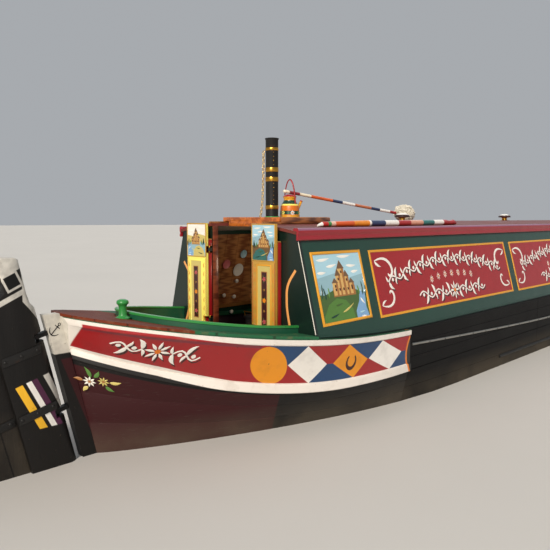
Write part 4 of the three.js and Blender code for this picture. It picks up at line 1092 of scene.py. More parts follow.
roof_ys = sorted(set([round(y, 4) for y in spread(-ROOF_HALF, ROOF_HALF, 30)] + [-HATCH_HALF, HATCH_HALF]))
hatch_end = BULKHEAD_X + HATCH_LENGTH
roof_xs = sorted(set(spread(BULKHEAD_X - 0.016, hatch_end, 3) + spread(hatch_end, FRONT_X + 0.012, 24)))
roof = grid_plate(roof_xs, roof_ys, lambda x, y: on_roof(y), lambda x, y: roof_under(y),
    lambda x, y: x < hatch_end and abs(y) < HATCH_HALF, "oxide", "cream")
roof.piece("arched_roof", "deck_red", ["roof_aft", "roof_mid", "roof_fore"], sharp=40)

# %% Vents
VENT = [(0, -0.004), (0.046, -0.004), (0.046, 0.004), (0.038, 0.01), (0.036, 0.036), (0.04, 0.042),
    (0.088, 0.047), (0.092, 0.052), (0.088, 0.062), (0.074, 0.076), (0.05, 0.088), (0.024, 0.094),
    (0, 0.096)]
vents = Build()
for x in (-5.75, -2.9, -0.3, 2.6, 5.6):
    low, cap = VENT[:7], VENT[6:]
    vents.turned(low + [(0, 0.047)], (x, 0, on_roof(0)), "brass", 24)
    vents.turned([(0, 0.046)] + cap[:4] + [(0, 0.076)], (x, 0, on_roof(0)), "maroon", 28)
    vents.turned([(0, 0.075)] + cap[3:], (x, 0, on_roof(0)), "white", 28)
vents.piece("mushroom_vents", "deck_red")

# %% Handrails
RAIL_SECTION = [(0.7586, 2.059), (0.7625, 2.057), (0.779, 2.057), (0.783, 2.061), (0.783, 2.076),
    (0.778, 2.082), (0.778, 2.1), (0.783, 2.108), (0.783, 2.138), (0.779, 2.15), (0.77, 2.157),
    (0.74, 2.157), (0.728, 2.152), (0.7245, 2.146), (0.7245, on_roof(0.724) + 0.0003),
    (0.7603, on_roof(0.76) + 0.0003), (0.7603, 2.1)]
# The four faces round the rail's rounded top are mauve: a painted highlight where the light catches the
# top.
RAIL_PAINTS = ["rail"] * 8 + ["mauve"] * 4 + ["rail"] * 5
for word, side in SIDES.items():
    rail = Build()
    stations = [BULKHEAD_X - 0.016] + spread(-8.2, 8, 12) + [FRONT_X + 0.012]
    rail.loft([[(x, y * side, z) for y, z in RAIL_SECTION] for x in stations], RAIL_PAINTS, "rail")
    rail.piece(f"handrail_moulding_{word}", "rail_red", [f"handrail_{word}"])

# %% [markdown]
# ## Slide and runners
# The slide closes the hatch over the doors. It is a board on two runners, with an orange aft edge
# and fascia, grained boards down its sides and two brass strips on top. Brass caps the runners too.

# %% Slide
RUNNER_TOP, SLIDE_AFT, SLIDE_LENGTH, SLIDE_HALF = 2.207, BULKHEAD_X + 0.19, 0.69, 0.372
SLIDE_FORE, low = SLIDE_AFT + SLIDE_LENGTH, RUNNER_TOP + 0.0003
slide = Build()
slide.box((SLIDE_AFT + 0.0215, -SLIDE_HALF + 0.004, low), (SLIDE_FORE, SLIDE_HALF - 0.004, low + 0.0375),
    "wood")
slide.box((SLIDE_AFT, -SLIDE_HALF, low), (SLIDE_AFT + 0.021, SLIDE_HALF, low + 0.0385), "hatch")
slide.box((SLIDE_AFT, -SLIDE_HALF + 0.082, low - 0.046),
    (SLIDE_AFT + 0.022, SLIDE_HALF - 0.082, low + 0.001), "hatch")
slide.piece("slide_board", "slide_paint", ["slide_hatch"], ease=0.003, body="slide_hatch")
trims = Build()
for side in (1, -1):
    y = side * (SLIDE_HALF + 0.0005)
    trims.box((SLIDE_AFT + 0.022, y - 0.003, 2.192), (SLIDE_FORE - 0.002, y + 0.003, low + 0.0345), "wood")
    y = side * (SLIDE_HALF - 0.034)
    trims.box((SLIDE_AFT + 0.026, y - 0.012, low + 0.037), (SLIDE_FORE - 0.01, y + 0.012, low + 0.0395),
        "brass")
trims.piece("slide_trims", "slide_paint", ease=0.0006, body="slide_hatch")
for word, side in SIDES.items():
    runner = Build()
    foot = lambda y: on_roof(y) + 0.0003
    section = [(0.338, foot(0.338)), (0.368, foot(0.368)), (0.368, RUNNER_TOP - 0.002),
        (0.338, RUNNER_TOP - 0.002)]
    runner.loft([[(x, y * side, z) for y, z in section] for x in (BULKHEAD_X + 0.01, BULKHEAD_X + 1.3)],
        "wood")
    runner.box((BULKHEAD_X + 0.012, side * 0.353 - 0.008, RUNNER_TOP - 0.0021),
        (BULKHEAD_X + 1.298, side * 0.353 + 0.008, RUNNER_TOP), "brass")
    runner.piece(f"runner_and_strip_{word}", "grained_wood", [f"slide_runner_{word}"], ease=0.0015)

# %% [markdown]
# ## Chimney, collar and studs
# The range's chimney is a black tube with four brass bands, a flared rim and rivets down its seam,
# on a painted collar. These and the studs on the decks are turned from profiles.

# %% Turned pieces
CHIMNEY_X, CHIMNEY_Y, CHIMNEY_R, CHIMNEY_TOP = BULKHEAD_X + 0.98, 0.5, 0.067, 3.07
COLLAR_PLACE = (CHIMNEY_X, CHIMNEY_Y, on_roof(CHIMNEY_Y - 0.096) + 0.0003)
collar = Build()
collar.turned([(0, 0), (0.092, 0), (0.096, 0.004), (0.096, 0.018), (0.09, 0.026), (0.082, 0.03),
    (0.08, 0.036)], COLLAR_PLACE, "brass", 40)
collar.turned([(0.08, 0.034), (0.086, 0.044), (0.086, 0.056), (0.079, 0.066), (0.076, 0.074), (0, 0.074)],
    COLLAR_PLACE, "bright", 40)
collar.piece("painted_collar", "collar_paint", ["chimney_collar"])
pipe, pipe_foot, r = Build(), COLLAR_PLACE[2] + 0.0743, CHIMNEY_R
tall = CHIMNEY_TOP - pipe_foot
pipe.turned([(0, 0), (r, 0), (r, tall - 0.02), (r + 0.006, tall - 0.01), (r + 0.007, tall - 0.003),
    (r + 0.003, tall), (r - 0.003, tall - 0.004), (r - 0.005, tall - 0.02), (r - 0.005, 0.012),
    (0, 0.012)], (CHIMNEY_X, CHIMNEY_Y, pipe_foot), "iron", 48)
for z, wide in ((2.33, 0.04), (2.62, 0.045), (2.72, 0.045), (2.94, 0.03)):
    pipe.turned([(r - 0.001, z), (r + 0.0015, z), (r + 0.0032, z + 0.004), (r + 0.0032, z + wide - 0.004),
        (r + 0.0015, z + wide), (r - 0.001, z + wide)], (CHIMNEY_X, CHIMNEY_Y, 0), "brass", 48)
pipe.piece("chimney_pipe", "black_iron", ["chimney"])
seam_x, seam_y = CHIMNEY_X - r * 0.5, CHIMNEY_Y - r * 0.866
bolt_rows("chimney_rivets", [[((seam_x, seam_y, z), (-0.5, -0.866, 0)) for z in row]
    for row in ((2.39, 2.6), (2.79, 2.92))], 0.035, 0.0045, "brass")

def deck_top(x):
    return gunwale_z(x) + 0.0203

stud = Build()
STUD_X = BULKHEAD_X - 1.145
stud.turned([(0, -0.012), (0.052, -0.012), (0.058, -0.004), (0.058, 0.008), (0.05, 0.013), (0.036, 0.02),
    (0.031, 0.032), (0.029, 0.09), (0.034, 0.106), (0.044, 0.114), (0.047, 0.122), (0.045, 0.134),
    (0.038, 0.142), (0.024, 0.149), (0, 0.15)], (STUD_X, 0, deck_top(STUD_X)), "bright", 36)
stud.piece("stud_on_stern_deck", "cabin_green", ["stern_stud"])
T_X = 10.35
tee = Build()
tee.turned([(0, -0.012), (0.062, -0.012), (0.07, -0.004), (0.07, 0.01), (0.06, 0.018), (0.036, 0.026),
    (0.032, 0.034), (0.032, 0.17), (0.028, 0.184), (0.014, 0.19), (0, 0.19)], (T_X, 0, deck_top(T_X)),
    "iron", 36)
tee.rod([(T_X, y, deck_top(T_X) + 0.145) for y in (-0.12, -0.117, -0.1, 0, 0.1, 0.117, 0.12)],
    [0.012, 0.021, 0.022, 0.019, 0.022, 0.021, 0.012], "iron", 20)
tee.piece("tee_stud_on_fore_deck", "black_iron", ["fore_stud"])

# %% [markdown]
# A brass chain holds the chimney to the roof, in case a bridge knocks it off. Chain is the classic
# use of instances: one link, one line, and a quarter turn more for each link, from its index.

# %% Chain
def chain_tree():
    tree, add, start = new_tree("chain", "Line",
        {"Pitch": 0.02, "Link radius": 0.008, "Wire radius": 0.0018})
    curve = add("GeometryNodeMeshToCurve", {0: start["Line"]})
    even = add("GeometryNodeResampleCurve", {"Curve": curve, "Length": start["Pitch"]}, mode="LENGTH")
    ring = add("GeometryNodeCurvePrimitiveCircle", {"Resolution": 12, "Radius": start["Link radius"]},
        mode="RADIUS")
    oval = add("GeometryNodeTransform", {"Geometry": ring, "Scale": (1.7, 1, 1)})
    wire = add("GeometryNodeCurvePrimitiveCircle", {"Resolution": 6, "Radius": start["Wire radius"]},
        mode="RADIUS")
    link = add("GeometryNodeCurveToMesh", {"Curve": oval, "Profile Curve": wire})
    ahead = add("GeometryNodeInputTangent")
    along = add("FunctionNodeAlignRotationToVector", {"Vector": ahead}, axis="X")
    index = add("GeometryNodeInputIndex")
    turns = add("ShaderNodeMath", {0: index, 1: pi / 2}, operation="MULTIPLY")
    quarter = add("FunctionNodeAxisAngleToRotation", {"Axis": (1, 0, 0), "Angle": turns})
    turned = add("FunctionNodeRotateRotation", {"Rotation": along, "Rotate By": quarter},
        rotation_space="LOCAL")
    close_tree(add, even, link, turned, start["Finish"])
    return tree

def beside_chimney(r, z):
    return (CHIMNEY_X - 0.7 * r, CHIMNEY_Y + 0.714 * r, z)

CHAIN = [(0.088, 2.92), (0.09, 2.75), (0.095, 2.55), (0.105, 2.37), (0.127, 2.24), (0.158, 2.182)]
chain_line = smooth_line([beside_chimney(r, z) for r, z in CHAIN], 8)
links = grow(chain_tree(), line_mesh("chain_line", [[(p, (0, 0, 1)) for p in chain_line]]), Pitch=0.031,
    Link_radius=0.0125, Wire_radius=0.0037, Finish=PAINT["chain"])
settle("chimney_chain", links)
eyes = Build()
for r, z in ((0.073, 2.932), (0.158, 2.172)):
    eye = [beside_chimney(r + 0.009 * cos(a), z + 0.009 * sin(a)) for a in spread(0, tau, 16)]
    eyes.rod(eye, 0.0024, "brass", 8)
eyes.rod([beside_chimney(0.158, z) for z in (2.152, 2.166)], 0.003, "brass", 8)
eyes.piece("chain_eyes", "black_iron")
bolt_rows("collar_studs", [[
    ((CHIMNEY_X + 0.092 * cos(a), CHIMNEY_Y + 0.092 * sin(a), COLLAR_PLACE[2] + 0.022),
        (cos(a), sin(a), 0.4)) for a in spread(0, tau, 24)]], 0.036, 0.006, "brass")
print("the chain has", len(links.polygons), "faces")

# %% [markdown]
# ## Water can, mop and tiller bar
# Three painted things lie on the cabin roof: a can with a spout and a hoop, a mop with its pole
# through the hoop, and the tiller bar, out of the rudder head and slightly bowed. Pole and bar are
# painted in broad bands, so their finish reads the map they were made with, where one number is
# metres along the bar. The edges are a little uneven, as a brush leaves them.

# %% Bands along a bar
def hooped(name, bands):
    """bands: (metres where the band ends, colour), from the bar's first end."""
    made, place = recipe(name)
    run = own_map(place).axis("X") + place.noise(60, 2) * 0.006
    begun, first = bands[0]
    colour = run.tones(first)
    for ends, code in bands[1:]:
        colour = colour.painted(code, run.above(begun))
        begun = ends
    dust, chips = place.noise(16, 5), place.noise(70, 6).above(0.7, 0.02)
    colour = colour.painted("4e3b28", chips * 0.5 + dust.above(0.6, 0.2) * 0.2)
    return cover(made, colour, 0.3 + dust * 0.2, dust - chips, 0.0006, coat=0.25)

PAINT["pole"] = hooped("mop pole bands", ((0.08, "efe3c8"), (0.23, "8e2230"), (0.4, "f1e4c6"),
    (0.74, "d8622c"), (0.9, "26375e"), (1.11, "f0ece4"), (1.4, "c0714c"), (1.56, "26375e"),
    (1.75, "f0ece4"), (2, "a81c20")))
PAINT["bar"] = hooped("tiller bar bands", ((0.06, "f0ece4"), (0.13, "b8281f"), (0.17, "3c8a4a"),
    (0.23, "e9b9a4"), (0.49, "d4561c"), (0.72, "e78a1c"), (0.75, "f0ece4"), (0.98, "26375e"),
    (1.21, "f0ece4"), (1.44, "a81c20"), (1.69, "d89a80"), (1.93, "23706c"), (2.15, "f0ece4"),
    (2.6, "a81c20")))

# %% Can
CAN_X, CAN_Y, CAN_R, LID_Z = BULKHEAD_X + 1.255, 0.5, 0.114, 0.31
can_foot = on_roof(CAN_Y - CAN_R) + 0.0003

def by_can(x, y, z):
    return (CAN_X + x, CAN_Y + y, can_foot + z)

CAN_SIDE = [(0, 0, "green"), (0.111, 0, "green"), (0.114, 0.003, "green"), (0.114, 0.014, "red"),
    (0.111, 0.046, "yellow"), (0.1075, 0.09, "green"), (0.104, 0.135, "orange"), (0.1, 0.185, "lemon"),
    (0.088, 0.206, "green"), (0.07, 0.232, "green"), (0.065, 0.246, "yellow"), (0.066, 0.262, "yellow"),
    (0.075, 0.284, "red"), (0.072, 0.29, "red"), (0.042, 0.309, "red"), (0, LID_Z, "red")]
can = Build()
for (r0, z0, paint), (r1, z1, _) in zip(CAN_SIDE, CAN_SIDE[1:]):
    can.turned([(r0, z0), ((r0 + r1) / 2, (z0 + z1) / 2), (r1, z1)], by_can(0, 0, 0), paint, 40)
for r, z, _ in CAN_SIDE[4:8]:
    can.turned([(r - 0.002, z - 0.004), (r + 0.0016, z - 0.002), (r + 0.0014, z + 0.002),
        (r - 0.002, z + 0.004)], by_can(0, 0, 0), "orange", 40)
spout = [by_can(x, 0, z) for x, z in ((0.08, 0.09), (0.135, 0.165), (0.186, 0.239), (0.181, 0.231),
    (0.189, 0.243))]
can.rod(spout[:3], [0.022, 0.018, 0.0135], "yellow", 20)
can.rod(spout[3:], [0.0145, 0.0155], "red", 20)
hoop = [by_can(0, 0.084 * cos(a), 0.15 + 0.32 * sin(a)) for a in spread(0, pi, 32)]
can.rod(hoop, 0.008, "red", 12, flat=0.8)
can.piece("painted_can", "can_paint", ["water_can"])

# %% Mop pole and tiller bar
MOP_HALF, POLE_R, MOP_X, MOP_Y = Vector((0.19, 0.14, 0.112)), 0.018, BULKHEAD_X + 3.01, 0.3
roof_fall = (on_roof(MOP_Y) - on_roof(MOP_Y + 0.001)) * 1000
mop_z = on_roof(MOP_Y) + hypot(MOP_HALF.z, MOP_HALF.y * roof_fall) + 0.0003
pole_end, lid = Vector((MOP_X, MOP_Y, mop_z)), Vector(by_can(0, 0, LID_Z))
fall = (lid.z + POLE_R - pole_end.z) / (pole_end.x - lid.x)
lid.z += 0.042 * fall + POLE_R * hypot(1, fall) + 0.0003
ahead = (pole_end - lid).normalized()
pole_start = lid - ahead * 0.09
length = (pole_end - pole_start).length
path = [pole_start + ahead * d for d in [0, 0.004, 0.012] + spread(0.03, length - 0.001, 24)]

def wound(path, sides):
    marks = [0]
    for a, b in zip(path, path[1:]):
        marks.append(marks[-1] + (Vector(b) - Vector(a)).length)
    return lambda r, i: (marks[r], i / sides)

pole = Build()
pole.rod(path, [0.008, 0.0135, 0.0172] + [0.0178] * 25, "pole", 24, uv=wound(path, 24))
pole.piece("mop_pole", "pole_paint", ["mop_handle"])

BAR_AFT, BAR_FORE, BAR_Y, BAR_BOW, BAR_R = BULKHEAD_X + 0.48, BULKHEAD_X + 2.95, -0.56, 0.03, 0.029
slope = 1 / cos(atan((on_roof(BAR_Y) - on_roof(BAR_Y - 0.001)) * 1000))
swell = [BAR_R * (0.68 + 0.32 * min(1, t / 0.3) ** 0.8) * (0.86 if 0.92 < t < 0.97 else 1)
    for t in spread(0, 1, 40)]
swell[0], swell[-1] = 0.008, 0.018
bar_line = []
for t, r in zip(spread(0, 1, 40), swell):
    y = BAR_Y - BAR_BOW * sin(pi * t)
    bar_line.append(Vector((lerp(BAR_AFT, BAR_FORE, t), y, on_roof(y) + r * slope + 0.0008)))
bar = Build()
bar.rod(bar_line, swell, "bar", 28, uv=wound(bar_line, 28))
bar.piece("banded_tiller_bar", "pole_paint", ["tiller_bar"], sharp=60)

# %% [markdown]
# ## The mop's head
# A hidden egg-shaped form says where the strands of rag start and which way they point. A node tree
# scatters points on it with a fixed seed, puts a bent strand on each, turned outward and stretched
# at random, and makes them real.

# %% Strand tree
def strand_tree():
    tree, add, start = new_tree("mop strands", "Form",
        {"Strands each m2": 900.0, "Strand size": 1.0, "Strand radius": 0.004, "Seed": 4})
    scatter = add("GeometryNodeDistributePointsOnFaces", {"Mesh": start["Form"],
        "Density": start["Strands each m2"], "Seed": start["Seed"]}, distribute_method="RANDOM")
    arc = add("GeometryNodeCurvePrimitiveBezierSegment", {"Resolution": 5, "Start": (0, 0, -0.03),
        "Start Handle": (0, 0, 0.02), "End Handle": (0.03, 0, 0.035), "End": (0.06, 0, 0.02)},
        mode="POSITION")
    ring = add("GeometryNodeCurvePrimitiveCircle", {"Resolution": 5, "Radius": start["Strand radius"]},
        mode="RADIUS")
    strand = add("GeometryNodeCurveToMesh", {"Curve": arc, "Profile Curve": ring, "Fill Caps": True})
    vary = add("FunctionNodeRandomValue", {2: 0.6, 3: 1}, data_type="FLOAT")
    spin = add("FunctionNodeRandomValue", {2: 0, 3: 6.28}, data_type="FLOAT")
    about = add("FunctionNodeAxisAngleToRotation", {"Axis": (0, 0, 1), "Angle": spin.outputs[1]})
    turned = add("FunctionNodeRotateRotation", {"Rotation": scatter.outputs["Rotation"],
        "Rotate By": about}, rotation_space="LOCAL")
    size = add("ShaderNodeMath", {0: start["Strand size"], 1: vary.outputs[1]}, operation="MULTIPLY")
    close_tree(add, scatter, strand, turned, start["Finish"], size)
    return tree

head_centre = Vector((MOP_X + MOP_HALF.x + 0.0025, MOP_Y, mop_z))

def on_form(up, about):
    """A point of the form by two angles: up from its foot, and about the upright."""
    x, y, z = sin(up) * cos(about), sin(up) * sin(about), -cos(up)
    taper = 0.4 + 0.6 * min(1, (x + 1) / 0.9)
    return head_centre + Vector((x * 0.135, y * 0.1 * taper, z * 0.082 * taper - 0.018 * max(0, x)))

form = Build()
form.skin([[on_form(up, about) for about in spread(0, tau, 24)] for up in spread(0, pi, 16)], "rag", False)
form_mesh = bpy.data.meshes.new("mop form")
form_mesh.from_pydata(form.points, [], form.faces)
strands = grow(strand_tree(), form_mesh, Strands_each_m2=8500.0, Strand_size=0.95, Strand_radius=0.0075,
    Seed=4, Finish=PAINT["rag"])
for vertex in strands.vertices:
    off = vertex.co - head_centre
    reach = max(abs(off.x) / MOP_HALF.x, abs(off.y) / MOP_HALF.y, abs(off.z) / MOP_HALF.z, 1)
    vertex.co = head_centre + off / reach
    vertex.co.z = max(vertex.co.z, on_roof(vertex.co.y) + 0.001)
settle("mop_strands", strands, ["mop_head"])
print("the mop has", len(strands.polygons), "faces")

# %% [markdown]
# ## Painted ornament as real brush strokes
# Canal boats are covered in castles, roses, leaves and scrolls. An image would blur close up, and
# flat decals flicker, so each stroke is a ridge of paint a millimetre high. A `lay` function says
# where two flat measures and a height come to lie on the boat, so the same rose can be painted on
# the leaning cabin side, on a door, or on the curved bend.

# %% Surfaces to paint on
LEAN = 236 / 906
SLANT = sqrt(1 + LEAN ** 2)

def side_half(z):
    return SIDE_TOP_HALF + (SIDE_TOP_Z - z) * LEAN

def on_side(side):
    return lambda x, z, h: (x, side * (side_half(z) + h / SLANT), z + h * LEAN / SLANT)

def plain_y(x, z):
    if z > bend_z(x):
        t = (z - bend_z(x)) / (gunwale_z(x) - bend_z(x))
        return lerp(half_breadth("bend", x), half_breadth("gunwale", x), t) - PLAIN_STEP
    t = (z - WATER_Z) / (bend_z(x) - WATER_Z)
    return lerp(half_breadth("waterline", x), half_breadth("bend", x) - PLAIN_STEP, t)

def on_flare(end, side, level, spot):
    """run: metres from the end's mark. spot(x, up) gives half breadth and height."""
    def lay(run, up, h):
        x = x_of(end, run)
        y, z = spot(x, up)
        slope = (half_breadth(level, x + 0.01) - half_breadth(level, x - 0.01)) / 0.02
        size = sqrt(1 + slope ** 2)
        return (x - slope / size * h, side * (y + h / size), z)
    return lay

def on_bend(end, side):
    """up: share of the panel's height."""
    return on_flare(end, side, "gunwale", lambda x, up: (
        lerp(half_breadth("bend", x), half_breadth("gunwale", x), up),
        lerp(bend_z(x) + 0.078, gunwale_z(x) - 0.055, up)))

def on_quarter(end, side):
    """up: metres above the bend's lower edge."""
    return on_flare(end, side, "bend", lambda x, up: (plain_y(x, bend_z(x) + up), bend_z(x) + up))

def on_post(end, side):
    return lambda u, v, h: (end["top"] + end["inboard"] * u, side * (POST_HALF + h), v)

def on_can(u, v, h):
    """u: metres round the can, v: metres up its side."""
    r = lerp(0.114, 0.1, (v - 0.014) / 0.171) + h
    return by_can(r * cos(u / 0.107), r * sin(u / 0.107), v)

# %% Strokes, leaves, scrolls
def polar(u, v, angle, reach):
    return (u + cos(angle) * reach, v + sin(angle) * reach)

def stroke(on, line, widths, paint, level=0):
    """A ridge along (u, v) points, as wide as told at each. on: the Build and its lay."""
    made, lay = on
    rings, top = [], 0.0012 + level * 0.0007
    for k, (u, v) in enumerate(line):
        (a, b), (c, d) = line[max(k - 1, 0)], line[min(k + 1, len(line) - 1)]
        size = hypot(c - a, d - b) or 1
        nu, nv = -(d - b) / size, (c - a) / size
        w = widths if isinstance(widths, float) else widths[k]
        rings.append([lay(u + nu * w * s, v + nv * w * s, h)
            for s, h in ((-1, -0.0006), (-0.55, top), (0.55, top), (1, -0.0006))])
    made.loft(rings, paint)

def leaf(on, u, v, angle, length, width, paint, level=0, bend=0.6, count=6):
    line, widths = [(u, v)], [width * 0.12]
    for k in range(1, count + 1):
        t = k / count
        line.append(polar(*line[-1], angle + bend * (t - 0.5), length / count))
        widths.append(max(0.0006, width * sin(pi * t ** 0.75)))
    stroke(on, line, widths, paint, level)

def scroll(on, u, v, angle, size, paint, hand=1, level=0):
    line, widths = [(u, v)], [size * 0.02]
    for k in range(1, 15):
        t = k / 14
        line.append(polar(*line[-1], angle + hand * 5.2 * t ** 1.7, size * 0.16 * (1.15 - t)))
        widths.append(size * (0.02 + 0.055 * sin(pi * t)))
    stroke(on, line, widths, paint, level)
    leaf(on, u, v, angle + hand * 0.9, size * 0.34, size * 0.06, paint, level, bend=-hand * 0.8)

def patch(on, outline, paint, level=0):
    made, lay = on
    made.slab(outline, -0.0006, 0.0009 + 0.0007 * level, paint, lay)

def blob(u, v, r, sides=12):
    return [polar(u, v, tau * k / sides, r) for k in range(sides)]

def rose(on, u, v, r, dark="crimson", petal="pink", leaves="leaf", turn=0):
    for k in range(5):
        a = turn + tau * (k + 0.5) / 5
        leaf(on, *polar(u, v, a, r * 0.8), a, r * 1.05, r * 0.26, leaves, 0, 0.5, 4)
    patch(on, blob(u, v, r), dark, 1)
    for ring, count, wide in ((0.72, 5, 0.2), (0.36, 3, 0.15)):
        for k in range(count):
            middle = turn + tau * k / count + ring
            arc = [polar(u, v, middle + s, r * ring) for s in spread(-0.5, 0.5, 4)]
            stroke(on, arc, [r * wide * w for w in (0.3, 0.8, 1, 0.8, 0.3)], petal, 2)
    patch(on, blob(u, v, r * 0.14, 8), "yellow", 3)

def daisy(on, u, v, r, petal="white", heart="yellow", level=0):
    for k in range(8):
        a = tau * k / 8
        leaf(on, *polar(u, v, a, r * 0.2), a, r * 0.8, r * 0.17, petal, level, 0, 4)
    patch(on, blob(u, v, r * 0.24, 8), heart, level + 1)

# %% [markdown]
# A running vine is a stem that swings from side to side of a line, with a leaf in each hollow and a
# berry inside each bend. White vines with a dark shade under them fill the big red panels, along an
# arch and a straight line with daisies between. Nothing on the boat is written in words.

# %% Vines
def vine(on, line, size, waves):
    steps, stretches, stem, turns = waves * 8, len(line) - 1, [], []
    for k in range(steps + 1):
        place = min(k / steps * stretches, stretches - 1e-6)
        (a, b), (c, d) = line[int(place)], line[int(place) + 1]
        long, share = hypot(c - a, d - b), place - int(place)
        swing = size * 0.2 * sin(tau * waves * k / steps)
        stem.append((lerp(a, c, share) - (d - b) / long * swing,
            lerp(b, d, share) + (c - a) / long * swing))
        turns.append(atan2(d - b, c - a))
    for paint, level, drop in (("shadow", 0, size * 0.09), ("white", 1, 0)):
        stroke(on, [(u + drop, v - drop) for u, v in stem], size * 0.05, paint, level)
        for k in range(0, steps, 4):
            s = 1 if k % 8 else -1
            (u, v), turn, (p, q) = stem[k], turns[k], stem[min(k + 2, steps)]
            leaf(on, u + drop, v - drop, turn + s * 1.15, size * 0.62, size * 0.13, paint, level, -s * 1.2)
            leaf(on, u + drop, v - drop, turn - s * 2, size * 0.4, size * 0.09, paint, level, s * 1)
            berry = (p + drop - sin(turn) * s * size * 0.2, q - drop + cos(turn) * s * size * 0.2)
            patch(on, blob(*berry, size * 0.1, 8), paint, level)

def garland(on, u, v, reach, size, waves):
    """A daisy with a vine running out to each side of it."""
    daisy(on, u + size * 0.09, v - size * 0.09, size * 0.52, "shadow", "shadow")
    daisy(on, u, v, size * 0.52, "white", "orange", 1)
    for s in (1, -1):
        vine(on, [(u + s * size * 0.62, v), (u + s * reach, v)], size, waves)

def beading(on, outline, width, high, paint, low=-0.001):
    """A closed moulding along an outline, with mitred corners."""
    (made, lay), rings, count = on, [], len(outline)
    for k in range(count):
        (a, b), (u, v), (c, d) = outline[k - 1], outline[k], outline[(k + 1) % count]
        e1, e2 = Vector((u - a, v - b)).normalized(), Vector((c - u, d - v)).normalized()
        n1, n2 = Vector((-e1.y, e1.x)), Vector((-e2.y, e2.x))
        mitre = (n1 + n2) / max(0.2, 1 + n1.dot(n2))
        section = ((-0.5, low), (-0.42, high * 0.7), (-0.2, high), (0.2, high), (0.42, high * 0.7),
            (0.5, low))
        rings.append([lay(u + mitre.x * width * s, v + mitre.y * width * s, h) for s, h in section])
    made.skin(rings + rings[:1], paint)

def oblong(a, b, c, d):
    return [(a, b), (c, b), (c, d), (a, d)]

def framed(on, box, width, high, line, fill, level):
    patch(on, oblong(*box), fill, level)
    beading(on, oblong(*box), width, high, line)

def rounded(a, b, c, d, r):
    out = []
    for cu, cv, start in ((c - r, b + r, -0.5), (c - r, d - r, 0), (a + r, d - r, 0.5), (a + r, b + r, 1)):
        out += [polar(cu, cv, pi * t, r) for t in spread(start, start + 0.5, 6)]
    return out

# %% [markdown]
# ## The castle picture
# A castle on a green hill by a stream is the other traditional subject. This one is made up. It is
# built from the sky forward as the painter does: the order of the levels is the order of painting.

# %% Castle picture
TOWERS = ((0.36, 0.1, 0.56, 0.07), (0.44, 0.09, 0.66, 0.1), (0.52, 0.12, 0.76, 0.12),
    (0.61, 0.09, 0.64, 0.09), (0.7, 0.1, 0.54, 0.07))

def castle(on, a, b, c, d, sky="skyblue", far="haze", land="moss", near="leaf"):
    wide, tall = c - a, d - b
    def at(s, t):
        return a + wide * s, b + tall * t
    def area(points, paint, level):
        patch(on, [at(s, t) for s, t in points], paint, level)
    def dabs(rows, level, thick=0.02):
        for s, t, angle, long, paint in rows:
            leaf(on, *at(s, t), angle, tall * long, tall * thick, paint, level, 0.3)
    area(oblong(0, 0, 1, 1), sky, 0)
    area([(0, 0.42), (1, 0.42), (1, 0.66), (0.7, 0.62), (0.4, 0.7), (0, 0.64)], far, 1)
    dabs([(*cloud, "white") for cloud in (
        (0.08, 0.9, 0.05, 0.3), (0.5, 0.94, 0, 0.34), (0.25, 0.8, 0.1, 0.24),
        (0.66, 0.8, -0.05, 0.24), (0.05, 0.72, 0, 0.2), (0.74, 0.7, 0.05, 0.18))], 1, 0.03)
    area([(0, 0), (1, 0), (1, 0.36), (0.86, 0.4), (0.7, 0.46), (0.5, 0.5), (0.3, 0.46), (0.12, 0.4),
        (0, 0.42)], land, 2)
    area([(0.04, 0), (0.66, 0), (0.64, 0.16), (0.52, 0.3), (0.34, 0.34), (0.16, 0.26), (0.04, 0.1)],
        near, 3)
    area([(0.7, 0), (0.97, 0), (0.93, 0.16), (0.95, 0.36), (0.84, 0.41), (0.8, 0.26), (0.7, 0.12)],
        "stream", 3)
    area(oblong(0.3, 0.36, 0.76, 0.5), "tan", 3)
    for s, across, high, roof in TOWERS:
        area(oblong(s - across / 2, 0.38, s + across / 2, high), "sand", 4)
        area(oblong(s + across / 8, 0.38, s + across / 2, high), "tan", 5)
        area([(s - across * 0.62, high), (s + across * 0.62, high), (s, high + roof)], "roof", 6)
        for t in (0.46, high - 0.05):
            area(oblong(s - 0.012, t - 0.018, s + 0.012, t + 0.018), "shadow", 6)
    dabs(((0.06, 0.36, 1.4, 0.2, "green"), (0.13, 0.34, 1.7, 0.17, "green"),
        (0.2, 0.36, 1.5, 0.14, "leaf"), (0.9, 0.34, 1.5, 0.2, "green"), (0.83, 0.36, 1.7, 0.13, "leaf"),
        (0.96, 0.32, 1.4, 0.16, "green"), (0.42, 0.13, 0.35, 0.3, "straw"),
        (0.16, 0.08, 0.2, 0.2, "green"), (0.3, 0.24, 0.1, 0.16, "moss"),
        (0.77, 0.09, 0.1, 0.14, "skyblue"), (0.84, 0.3, -0.9, 0.12, "white"),
        (0.8, 0.03, 0, 0.12, "white")), 7)

# %% [markdown]
# ## Cabin sides
# Each cabin side is dark green with red panels in yellow frames, a castle next to the doors and
# brass-framed windows further on. The solids of the sides keep their shape, and all of these are
# pieces that stand on them.

# %% Panels of the cabin sides
for word in SIDES:
    for part in ("aft", "mid", "fore"):
        dress(f"cabin_side_{part}_{word}", "green")

